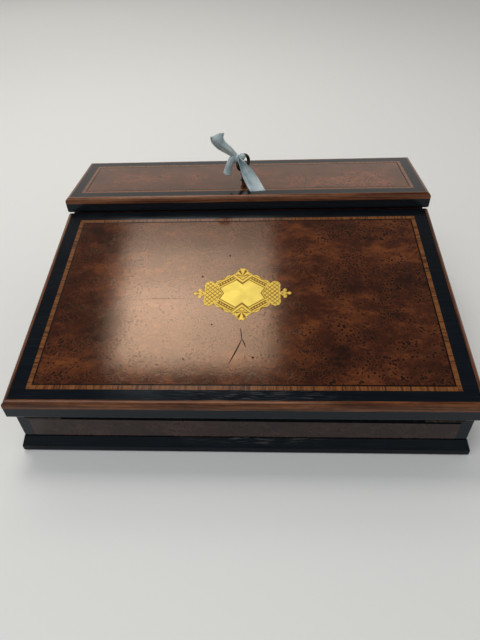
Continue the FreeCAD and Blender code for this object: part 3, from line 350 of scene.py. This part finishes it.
def crossbanding(name, node, pitch, stripe):
    """Stripes across each strip of the band, drawn out over more than the strip's whole width."""
    material, tree = start_finish(name)
    band = strip_space(tree, node, pitch, stripe, 24 * MM)
    grain = add(tree, "TexNoise", {"Vector": band, "Scale": 1.0, "Detail": 4.0, "Roughness": 0.7})
    colour = add(tree, "ValToRGB", {"Fac": grain},
                 ((0.36, "#3a1e0c"), (0.47, "#613719"), (0.58, "#7f4f27"), (0.7, "#4e2c13")))
    bump = add(tree, "Bump", {"Height": grain, "Strength": 0.15, "Distance": 0.04 * MM})
    lay_on(tree, {"Base Color": colour, "Normal": bump, "Roughness": 0.16})
    return material


dress(crossbanding("tulipwood crossbanding, slope", "slope_crossband", slope_pitch, 1.5 * MM),
      "slope_crossband")
dress(crossbanding("tulipwood crossbanding, rear lid", "rear_crossband", level, 0.8 * MM),
      "rear_crossband")
dress(planed_wood("rosewood stringing", "#0c0604", "#150a06", "#26130a", 30 * MM, 0.6 * MM, 0.3,
                  0.03 * MM, shine=0.1), "slope_stringing", "rear_stringing")

# Writing leather: a thin split sheepskin glued under the slope lid, to write on when it lies open.
# To the eye it is a dark brown, finely pebbled and dull, with one gilt line tooled near its edge.


def tooled_leather():
    """Pebbles from a cell pattern, drawn 0.9 mm wide so that they show, and a gilt line where the nearest
    edge of the sheet is a set distance off."""
    line_inset, half_line = 9 * MM, 0.8 * MM
    low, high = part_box("writing_leather")
    material, tree = start_finish("gilt-tooled skiver")
    place = add(tree, "TexCoord").outputs["Object"]
    pebbles = add(tree, "TexVoronoi", {"Vector": place, "Scale": 1 / (0.9 * MM)})
    fade = add(tree, "TexNoise", {"Vector": place, "Scale": 1 / (45 * MM), "Detail": 4.0})
    skin = add(tree, "ValToRGB", {"Fac": fade}, ((0.35, "#2a1712"), (0.65, "#4a2a1f")))
    split = add(tree, "SeparateXYZ", {"Vector": place})
    from_middle = add(tree, "Math", {0: split.outputs["X"]}, operation="ABSOLUTE")
    to_side = add(tree, "Math", {0: high.x, 1: from_middle}, operation="SUBTRACT")
    to_front = add(tree, "Math", {0: split.outputs["Y"], 1: low.y}, operation="SUBTRACT")
    to_rear = add(tree, "Math", {0: high.y, 1: split.outputs["Y"]}, operation="SUBTRACT")
    to_end = add(tree, "Math", {0: to_front, 1: to_rear}, operation="MINIMUM")
    inset = add(tree, "Math", {0: to_side, 1: to_end}, operation="MINIMUM")
    line = add(tree, "Math", {0: inset, 1: line_inset, 2: half_line}, operation="COMPARE")
    colour = add(tree, "Mix", {"Factor": line, mix_a: skin, mix_b: linear("#b08a45")}, data_type="RGBA")
    bump = add(tree, "Bump", {"Height": pebbles, "Strength": 0.3, "Distance": 0.1 * MM})
    lay_on(tree, {"Base Color": colour.outputs[mix_colour], "Normal": bump, "Roughness": 0.55})
    return material


dress(tooled_leather(), "writing_leather")

# Steel: the hinge pins and screws, turned and driven home, and the key, filed from one forging.
# To the eye the screws are a worn grey with brown spots, and the key is browned nearly all over.


def worn_steel(name, bright, mid, dark):
    """Grey metal with brown spots where rust has been rubbed off; the spots are duller and stand proud."""
    material, tree = start_finish(name)
    place = add(tree, "TexCoord").outputs["Object"]
    spots = add(tree, "TexNoise", {"Vector": place, "Scale": 1 / (2.5 * MM), "Detail": 5.0,
                                   "Roughness": 0.7})
    colour = add(tree, "ValToRGB", {"Fac": spots}, ((0.4, bright), (0.6, mid), (0.72, dark)))
    gloss = add(tree, "MapRange", {"Value": spots, "From Min": 0.3, "From Max": 0.7, "To Min": 0.28,
                                   "To Max": 0.55})
    bump = add(tree, "Bump", {"Height": spots, "Strength": 0.2, "Distance": 0.05 * MM})
    lay_on(tree, {"Base Color": colour, "Metallic": 1.0, "Roughness": gloss, "Normal": bump})
    return material


dress(worn_steel("worn steel", "#8f8b84", "#5b5148", "#3a2a20"),
      "hinge_pins", "case_screws", "slope_lid_screws", "rear_lid_screws")
dress(worn_steel("browned iron", "#5a5650", "#38322d", "#221a15"), "key")

# Cartouche: a cast and chased brass plate let into the slope lid, with a bare polished field.
# The inlay is the dull ground. The chasing over it is one relief sheet, to the eye bright yellow on its
# ribs and field and brown with tarnish in its cuts.


def top_face(node):
    """A point on the node's largest upward face, and that face's across, along and up directions."""
    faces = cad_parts[node].data.polygons
    area, normal, centre = np.empty(len(faces)), np.empty(3 * len(faces)), np.empty(3 * len(faces))
    faces.foreach_get("area", area)
    faces.foreach_get("normal", normal)
    faces.foreach_get("center", centre)
    normal, centre = normal.reshape(-1, 3), centre.reshape(-1, 3)
    best = np.argmax(np.where(normal[:, 2] > 0, area, 0))
    across = np.array([1.0, 0.0, 0.0])
    return centre[best], across, np.cross(normal[best], across), normal[best]


face_point, face_across, face_along, face_up = top_face("slope_burr")
inlay_low, inlay_high = (np.array(corner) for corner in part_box("brass_cartouche"))
inlay_middle = (inlay_low + inlay_high) / 2
inlay_middle = inlay_middle + face_up * np.dot(face_point - inlay_middle, face_up)


def on_slope(x, y, height):
    """Points on the slope lid's face, from millimetres across and along it from the cartouche's middle."""
    flat = np.multiply.outer(x, face_across) + np.multiply.outer(y, face_along)
    return inlay_middle + (flat + np.multiply.outer(height, face_up)) * MM


def add_piece(name, points, faces, body, material):
    """A smooth mesh from points and faces, riding a body and taking its finish from a slot."""
    mesh = bpy.data.meshes.new(name)
    mesh.from_pydata(points.reshape(-1, 3).tolist(), [], faces.tolist())
    mesh.polygons.foreach_set("use_smooth", np.full(len(faces), True))
    mesh.materials.append(material)
    piece = bpy.data.objects.new(name, mesh)
    bpy.context.scene.collection.objects.link(piece)
    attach(piece, body)
    return piece


def grid_faces(rows, columns):
    """The quads of a grid of points, each as four point numbers."""
    first = np.arange(rows * columns).reshape(rows, columns)[:-1, :-1]
    return np.stack([first, first + 1, first + columns + 1, first + columns], axis=-1).reshape(-1, 4)


def rib(distance, width):
    """1 on a line, falling off as exp(-(d / w) ** 2)."""
    return np.exp(-(distance / width) ** 2)


def every(length, pitch):
    """The distance, either way, to the nearest of lines a pitch apart."""
    return (length / pitch - np.round(length / pitch)) * pitch


def cartouche_relief():
    """Points over the inlay, their faces, and how bright the metal is, the same in all four quarters.

    All is in mm. With u = |x| and v = |y|, t is the distance out from the field's long diagonal edge and
    l the way along it, from the edge's upper corner; top and side are the distances out from the field's
    two notches, whose edges have slopes of 0.93 and 0.552. The plate is where `plate` is below 0, a union
    of circles and straight-edged shapes. Cut lines are ribs taken away from a height of 0.8, the field is
    at 1, and the plate has a bead of 0.8 near its edge. Points next to the edge are moved on to it."""
    cell, half_wide, half_deep = 0.24, 42, 29.5
    corner_u, corner_v = 5.4, 15
    out = np.array([9.2, 13.6]) / np.hypot(9.2, 13.6)
    x, y = np.meshgrid(np.arange(-half_wide, half_wide, cell), np.arange(-half_deep, half_deep, cell),
                       indexing="ij")
    u, v = np.abs(x), np.abs(y)
    t = out[0] * (u - corner_u) + out[1] * (v - corner_v)
    l = out[1] * (u - corner_u) - out[0] * (v - corner_v)
    top = (v - 10.2 - 0.93 * u) / 1.366
    side = (u - 15.8 - 0.552 * v) / 1.142
    field = np.maximum(np.maximum(t, top), side)

    shell = np.hypot(u, v - 23.0) - 5.2 - 0.45 * np.cos(14 * np.arctan2(v - 20.5, u))
    scrolls = t - 7.3 - 0.9 * np.cos(2 * np.pi * (l - 4) / 9.6)
    scrolls = np.maximum(np.maximum(scrolls, u - 27), v - 22.6)
    lobes = np.minimum(np.hypot(u - 27.8, v - 8.8) - 4.6, np.maximum(u - 32.2, v - 9))
    leaves = np.minimum(np.hypot(u - 35.9, v - 3.3) - 1.7, np.hypot(u - 39.6, v) - 1.7)
    stem = np.minimum(np.hypot(u - 34.3, v) - 2.4, np.maximum(v - 0.9, u - 39))
    finial = np.minimum(leaves, stem)
    plate = np.minimum(np.minimum(shell, scrolls), np.minimum(lobes, finial))

    line, bead_pitch, lattice_pitch, chevron_pitch = 0.3, 2.6, 4.2, 2.6
    bands = rib(t - 1.9, line) + rib(t - 4.4, line) + rib(t - 6.2, line)
    beads = 1 - rib(np.hypot(t - 3.15, every(l, bead_pitch)), 1.0)
    bands = bands + np.where(np.abs(t - 3.15) < 1.1, beads, 0)
    lattice = np.minimum(np.abs(every(u + v, lattice_pitch)), np.abs(every(u - v, lattice_pitch))) / 1.414
    block = np.where(side < 1.4, rib(side - 1.4, line), rib(lattice, line))
    chevrons = rib(every(top - 0.8, chevron_pitch), 0.35)
    petals = np.abs(np.sin(3.5 * np.arctan2(v - 19.5, u) + 0.25 * np.pi)) ** 4
    cut = np.select([shell < 0, side > 0, top > 0], [petals, block, chevrons], bands)

    worked = np.where(field < 0, 1.0, 0.8 - 0.75 * np.clip(cut, 0, 1))
    worked = np.maximum(worked * (1 - rib(field, 0.35)), 0.8 * rib(plate + 0.7, 0.5))
    worked = np.clip(worked, 0, 1)
    height = np.where(plate > -0.1, -0.04, 0.05 + 0.2 * worked)
    step_x, step_y = np.gradient(plate, cell)
    snap = np.where(np.abs(plate) < cell, plate, 0.0)
    faces = grid_faces(*x.shape)[:, ::-1]
    inside = (plate.ravel()[faces] < 0.7 * cell).all(axis=1)
    return on_slope(x - snap * step_x, y - snap * step_y, height), faces[inside], worked


def chased_brass():
    """Brass whose colour follows the relief: yellow where rubbed, brown in the cuts, a little stained."""
    material, tree = start_finish("chased brass")
    rubbed = add(tree, "Attribute", attribute_name="rubbed").outputs["Fac"]
    stain = add(tree, "TexNoise", {"Vector": add(tree, "TexCoord").outputs["Object"],
                                   "Scale": 1 / (6 * MM), "Detail": 5.0, "Roughness": 0.6})
    tone = add(tree, "Math", {0: stain, 1: 0.35, 2: rubbed}, operation="MULTIPLY_ADD")
    tone = add(tree, "Math", {0: tone, 1: 0.85}, operation="MULTIPLY")
    colour = add(tree, "ValToRGB", {"Fac": tone},
                 ((0.15, "#2c1f0c"), (0.45, "#94753a"), (0.72, "#c4a54e"), (0.98, "#ceb95e")))
    gloss = add(tree, "MapRange", {"Value": stain, "From Min": 0.3, "From Max": 0.7, "To Min": 0.46,
                                   "To Max": 0.58})
    lay_on(tree, {"Base Color": colour, "Metallic": 1.0, "Roughness": gloss})
    return material


relief_points, relief_faces, relief_rubbed = cartouche_relief()
chasing = add_piece("cartouche_chasing", relief_points, relief_faces, "slope_lid",
                    chased_brass())
rubbed = chasing.data.attributes.new("rubbed", "FLOAT", "POINT")
rubbed.data.foreach_set("value", relief_rubbed.ravel())
dress(aged_brass("dull brass inlay", "#a07c34", "#6a4c1e", 0.45, 6 * MM), "brass_cartouche")

# Marks on the slope lid: a forked scratch below the cartouche, a fine one beside it and a few specks.
# Ink and dirt that has sunk into the polish. To the eye they are near-black and dull. Each is a thin patch
# a hair over the veneer.
mark_height = 0.03


def smooth_path(rows, count):
    """A curve through the rows, any number of columns wide: the cubic through each four neighbouring rows
    (p0, p1, p2, p3) whose slope at p1 is (p2 - p0) / 2 and at p2 is (p3 - p1) / 2."""
    rows = np.asarray(rows, float)
    rows = np.vstack([2 * rows[0] - rows[1], rows, 2 * rows[-1] - rows[-2]])
    at = np.linspace(0, len(rows) - 3, count)
    first = np.minimum(at.astype(int), len(rows) - 4)
    share = (at - first)[:, None]
    p0, p1, p2, p3 = (rows[first + step] for step in range(4))
    return (p1 + share * (p2 - p0) / 2 + share ** 2 * (p0 - 2.5 * p1 + 2 * p2 - 0.5 * p3)
            + share ** 3 * (1.5 * (p1 - p2) + (p3 - p0) / 2))


def scratch(points, width):
    """A strip along a smooth path on the lid, widest in the middle: half width is w / 2 sqrt(sin(pi f))
    at share f of the way."""
    path = smooth_path(points, 24)
    away = np.gradient(path, axis=0)
    away = np.stack([-away[:, 1], away[:, 0]], axis=1) / np.linalg.norm(away, axis=1)[:, None]
    half = np.sqrt(np.sin(np.pi * np.linspace(0.02, 0.98, len(path))))[:, None] * width / 2
    edges = np.stack([path + away * half, path - away * half], axis=1)
    return on_slope(edges[..., 0], edges[..., 1], np.full(edges.shape[:2], mark_height))


def speck(x, y, radius):
    """A round spot on the lid: circles of radius 0 and r round its middle."""
    turn, ring = np.meshgrid(np.linspace(0, 2 * np.pi, 13), [0.0, radius], indexing="ij")
    return on_slope(x + ring * np.cos(turn), y + ring * np.sin(turn), np.full(turn.shape, mark_height))


def stain_and_painted_shade(name, dark, light):
    """A near-black colour, uneven and dull: a real stain on the lid's marks, painted shade on the front
    wall.
    """
    material, tree = start_finish(name)
    place = add(tree, "TexCoord").outputs["Object"]
    blots = add(tree, "TexNoise", {"Vector": place, "Scale": 1 / (3 * MM)})
    colour = add(tree, "ValToRGB", {"Fac": blots}, ((0.35, dark), (0.65, light)))
    lay_on(tree, {"Base Color": colour, "Roughness": 0.9, "Specular IOR Level": 0.05})
    return material


marks = [scratch([(-0.6, -35.6), (0.9, -47.0)], 0.7),
         scratch([(1.0, -46.0), (-3.6, -57.5), (-8.8, -69.3)], 1.0),
         scratch([(0.6, -46.2), (2.6, -50.0), (3.8, -53.8)], 0.9),
         scratch([(-97, -6.5), (-70, -5.2), (-40, -6.0)], 0.25),
         speck(-35, 19, 0.9), speck(-12, 43.7, 0.9), speck(-23.8, -32.3, 0.7),
         speck(-43.8, -64.8, 0.7), speck(9.5, -63.5, 0.9)]
polish_stain = stain_and_painted_shade("ink and dirt in the polish", "#0c0503", "#2a150c")
for number, mark in enumerate(marks, 1):
    add_piece(f"lid_mark_{number}", mark, grid_faces(*mark.shape[:2]), "slope_lid",
              polish_stain)

# Front shade band: the strip of the front wall just under the lid's rim, painted black as the shade that
# the rim casts there, a little deeper towards the right. It is one thin patch over the veneer.
veneer_low, veneer_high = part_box("front_veneer")
shade_band_depth = np.array([6.4, 8.4]) * MM
shade_band_proud = 0.06 * MM
shade_band = np.full((2, 2, 3), veneer_low.y - shade_band_proud)
shade_band[:, :, 0] = [[veneer_low.x] * 2, [veneer_high.x] * 2]
shade_band[:, :, 2] = np.stack([veneer_high.z - shade_band_depth, [veneer_high.z] * 2], axis=1)
# A near-black patch: painted shade under the rim, not a stain.
add_piece("front_painted_shade", shade_band, grid_faces(2, 2)[:, ::-1], "case",
          stain_and_painted_shade("painted shade under the rim", "#020305", "#090a0d"))

# Key ribbon: a length of satin ribbon tied through the key's ring, one flattened loop standing up,
# a short frayed tail at the left and a longer one, cut on the slant, drooping to the lid.
# Woven silk. To the eye it is a pale blue-grey with a broad soft gloss.
ribbon_width, ribbon_threads = 13.0, 25
key_low, key_high = (np.array(corner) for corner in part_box("key"))
key_foot = np.array([(key_low[0] + key_high[0]) / 2, (key_low[1] + key_high[1]) / 2,
                     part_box("rear_burr")[1].z])


def ribbon_strip(rows, count, slant=0.0):
    """A strip of constant width along a path, its section an arc that keeps its length when it curls.

    Each row is a point, the direction across the strip, the curl k in 1 / mm and the height p of a crease,
    all in mm from the key's foot. At a distance w from the middle the strip is sin(k w) / k to the side
    and (1 - cos(k w)) / k - p exp(-((w + 1.5) / 1.4) ** 2) out of its plane. A slanted end reaches
    slant w further."""
    path = smooth_path(rows, count)
    centre, across, curl, crease = path[:, :3], path[:, 3:6], path[:, 6:7], path[:, 7:8]
    curl = np.where(np.abs(curl) < 0.002, 0.002, curl)
    along = np.gradient(centre, axis=0)
    along /= np.linalg.norm(along, axis=1, keepdims=True)
    across = across - along * np.sum(across * along, axis=1, keepdims=True)
    across /= np.linalg.norm(across, axis=1, keepdims=True)
    out = np.cross(along, across)
    w = np.linspace(-ribbon_width / 2, ribbon_width / 2, ribbon_threads)
    side = np.sin(curl * w) / curl
    rise = (1 - np.cos(curl * w)) / curl - crease * np.exp(-((w + 1.5) / 1.4) ** 2)
    reach = slant * np.linspace(0, 1, count)[:, None] ** 3 * w
    return (centre[:, None] + across[:, None] * side[..., None] + out[:, None] * rise[..., None]
            + along[:, None] * reach[..., None])


def ring_wrap(centre, axis, radius, curl):
    """The rows of a strip that goes once round an axis: centre + r (cos a first + sin a second)."""
    axis = np.array(axis) / np.linalg.norm(axis)
    first = np.cross(axis, (0.0, 0.0, 1.0))
    first /= np.linalg.norm(first)
    second = np.cross(axis, first)
    turn = np.linspace(0, 2 * np.pi, 13)[:, None]
    points = np.array(centre) + radius * (np.cos(turn) * first + np.sin(turn) * second)
    return np.hstack([points, np.tile(axis, (13, 1)), np.tile((curl, 0.0), (13, 1))])


loop_low, loop_tip = (0.62, 0.3, 0.72), (0.93, 0.3, 0.28)
tail_across = (0.97, 0.06, 0.2)
short_across = (0.82, 0.0, -0.57)
loop = ribbon_strip([(-6.0, -6.6, 25.5, *loop_low, 0.36, 1.2), (-10.9, -9.2, 33.2, *loop_low, 0.33, 1.4),
                     (-15.3, -11.4, 38.0, *loop_low, 0.30, 1.2), (-19.4, -12.9, 42.0, *loop_tip, 0.24, 0.8),
                     (-21.8, -13.1, 46.8, *loop_tip, 0.14, 0.3), (-22.6, -11.4, 50.0, *loop_tip, 0.12, 0.0),
                     (-23.0, -9.4, 48.8, *loop_tip, 0.04, 0.0), (-23.2, -8.4, 44.2, *loop_tip, -0.08, 0.0),
                     (-20.8, -8.0, 39.8, *loop_tip, -0.16, 0.0), (-16.6, -7.6, 35.2, *loop_low, -0.24, 0.0),
                     (-6.6, -5.2, 26.6, *loop_low, -0.36, 0.0)], 110)
long_tail = ribbon_strip([(-3.4, -7.4, 24.4, *tail_across, 0.44, 1.6),
                          (-0.6, -10.5, 20.6, *tail_across, 0.36, 1.6),
                          (4.2, -16.0, 14.2, *tail_across, 0.16, 0.7),
                          (10.0, -23.4, 7.0, *tail_across, 0.05, 0.2),
                          (14.7, -29.6, 1.4, *tail_across, 0.02, 0.0)], 60, slant=0.55)
short_tail = ribbon_strip([(-7.2, -8.0, 27.2, *short_across, -0.38, -0.6),
                           (-10.2, -10.2, 25.0, *short_across, -0.34, -0.8),
                           (-13.2, -11.8, 18.5, *short_across, -0.30, -0.8),
                           (-15.6, -12.6, 10.6, *short_across, -0.26, -0.3)], 36)
fray, fray_way = 0.9, np.array([-0.3, -0.1, -0.95])
short_tail[-1] += fray * np.sin(np.arange(ribbon_threads) * 2.4)[:, None] * fray_way
knot = ribbon_strip(ring_wrap((-5.2, -6.2, 25.0), (-0.5, -0.3, 0.8), 3.4, -0.3), 40)
bow_turn = ribbon_strip(ring_wrap((-0.9, -1.6, 24.4), (-0.68, -0.68, -0.28), 3.3, -0.3), 40)
strips = [key_foot + strip * MM for strip in (loop, long_tail, short_tail, knot, bow_turn)]


def satin():
    """Fine threads along the ribbon, a slow fading and a faint sheen. The threads are drawn 0.4 mm wide,
    coarser than silk, so that they show."""
    thread_width, thread_length = 0.4, 30
    material, tree = start_finish("satin ribbon")
    threads = add(tree, "Mapping", {"Vector": add(tree, "UVMap", uv_map="ribbon"),
                                    "Scale": (1 / thread_width, 1 / thread_length, 1.0)})
    weave = add(tree, "TexNoise", {"Vector": threads, "Scale": 1.0, "Detail": 3.0})
    fade = add(tree, "TexNoise", {"Vector": add(tree, "TexCoord").outputs["Object"],
                                  "Scale": 1 / (9 * MM)})
    tone = add(tree, "Math", {0: weave, 1: fade}, operation="ADD")
    tone = add(tree, "Math", {0: tone, 1: 0.5}, operation="MULTIPLY")
    colour = add(tree, "ValToRGB", {"Fac": tone}, ((0.35, "#7a8b93"), (0.5, "#a2b1b4"), (0.68, "#cccfca")))
    bump = add(tree, "Bump", {"Height": weave, "Strength": 0.25, "Distance": 0.05 * MM})
    lay_on(tree, {"Base Color": colour, "Normal": bump, "Roughness": 0.42, "Sheen Weight": 0.25,
                  "Sheen Roughness": 0.4})
    return material


starts = np.cumsum([0] + [strip.shape[0] * strip.shape[1] for strip in strips])
ribbon_faces = np.concatenate([start + grid_faces(*strip.shape[:2]) for start, strip in zip(starts, strips)])
ribbon = add_piece("tied_ribbon", np.concatenate([strip.reshape(-1, 3) for strip in strips]), ribbon_faces,
                   "key", satin())
middle = ribbon_threads // 2
runs = [np.linalg.norm(np.diff(strip[:, middle], axis=0), axis=1).cumsum() / MM for strip in strips]
over = np.linspace(0, ribbon_width, ribbon_threads)
flat_places = [np.stack(np.meshgrid(np.r_[0, run], over, indexing="ij")[::-1], axis=-1) for run in runs]
flat_places = np.concatenate([places.reshape(-1, 2) for places in flat_places])
corners = np.empty(len(ribbon.data.loops), int)
ribbon.data.loops.foreach_get("vertex_index", corners)
ribbon.data.uv_layers.new(name="ribbon").data.foreach_set("uv", flat_places[corners].ravel())
cloth = ribbon.modifiers.new("thickness", "SOLIDIFY")
cloth.thickness = 0.2 * MM
cloth.offset = 0.0
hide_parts("key_ribbon")

# Stage: a pale matt paper floor, wide enough to fill the view, under soft lamps and a sky that is bright
# low down, cool in front and warm behind. Sixteen overhead panels make one window, brighter at its left
# and front, that the slope lid's polish mirrors.
floor_half = 6.0
paper_floor, tree = start_finish("matt white paper")
lay_on(tree, {"Base Color": linear("#dddedd"), "Roughness": 0.6})
floor_mesh = bpy.data.meshes.new("floor")
floor_mesh.from_pydata([(-floor_half, -floor_half, 0), (floor_half, -floor_half, 0),
                        (floor_half, floor_half, 0), (-floor_half, floor_half, 0)], [], [(0, 1, 2, 3)])
floor_mesh.materials.append(paper_floor)
floor = bpy.data.objects.new("floor", floor_mesh)
bpy.context.scene.collection.objects.link(floor)


def soft_lamp(name, at, size, radiance, colour=(1.0, 1.0, 1.0)):
    """A rectangular lamp facing down; its power is its radiance times its area times pi."""
    lamp = bpy.data.lights.new(name, "AREA")
    lamp.shape = "RECTANGLE"
    lamp.size, lamp.size_y = size
    lamp.energy = radiance * size[0] * size[1] * np.pi
    lamp.color = colour
    holder = bpy.data.objects.new(name, lamp)
    bpy.context.scene.collection.objects.link(holder)
    holder.location = at


warm_light = (1.0, 0.95, 0.88)
column_light, row_light = (9.0, 8.8, 7.5, 6.0), (0.9, 1.0, 0.6, 0.26)
panel_wide, panel_deep, panel_height = 0.157, 0.177, 1.5
panel_left, panel_front = -0.5, 0.415
for number in range(len(column_light) * len(row_light)):
    column, row = divmod(number, len(row_light))
    soft_lamp(f"overhead_lamp_{number + 1}",
              (panel_left + panel_wide * column, panel_front + panel_deep * row, panel_height),
              (panel_wide, panel_deep), column_light[column] * row_light[row], warm_light)
soft_lamp("front_lamp", (-0.6, -0.7, 2.0), (1.8, 1.0), 3.0)
soft_lamp("back_lamp", (-1.3, 2.2, 2.0), (2.2, 1.0), 2.4, warm_light)

world = bpy.data.worlds.new("studio")
bpy.context.scene.world = world
world.use_nodes = True
sky = world.node_tree
around = add(sky, "SeparateXYZ", {"Vector": add(sky, "TexCoord").outputs["Generated"]})
cool = add(sky, "ValToRGB", {"Fac": around.outputs["Z"]},
           ((0.0, "#a9adae"), (0.14, "#d5dadb"), (0.45, "#cbd0d2"), (0.75, "#76797d"), (1.0, "#5e6266")))
warm = add(sky, "ValToRGB", {"Fac": around.outputs["Z"]},
           ((0.0, "#adaaa6"), (0.14, "#dcd6cf"), (0.45, "#d5ccc3"), (0.75, "#7c7672"), (1.0, "#5e6266")))
to_back = add(sky, "MapRange", {"Value": around.outputs["Y"], "From Min": -0.3, "From Max": 0.6})
glow = add(sky, "Mix", {"Factor": to_back, mix_a: cool, mix_b: warm}, data_type="RGBA")
sky.links.new(glow.outputs[mix_colour], sky.nodes["Background"].inputs["Color"])
sky.nodes["Background"].inputs["Strength"].default_value = 1.1

# Camera: where the photograph was taken from, above and in front, slightly to the right.
# The matrix's columns are the camera's right, up and backward directions and its place in metres.
camera = bpy.data.objects.new("camera", bpy.data.cameras.new("camera"))
bpy.context.scene.collection.objects.link(camera)
camera.data.sensor_width = 36.0
camera.data.lens = 26.75
camera.data.clip_start = 0.01
camera.matrix_world = Matrix(((0.99874, 0.00241, 0.05014, 0.01806),
                              (0.03683, 0.64351, -0.76455, -0.36676),
                              (-0.03411, 0.76544, 0.64261, 0.32166),
                              (0, 0, 0, 1)))
bpy.context.scene.camera = camera
bpy.context.scene.view_settings.view_transform = "Standard"
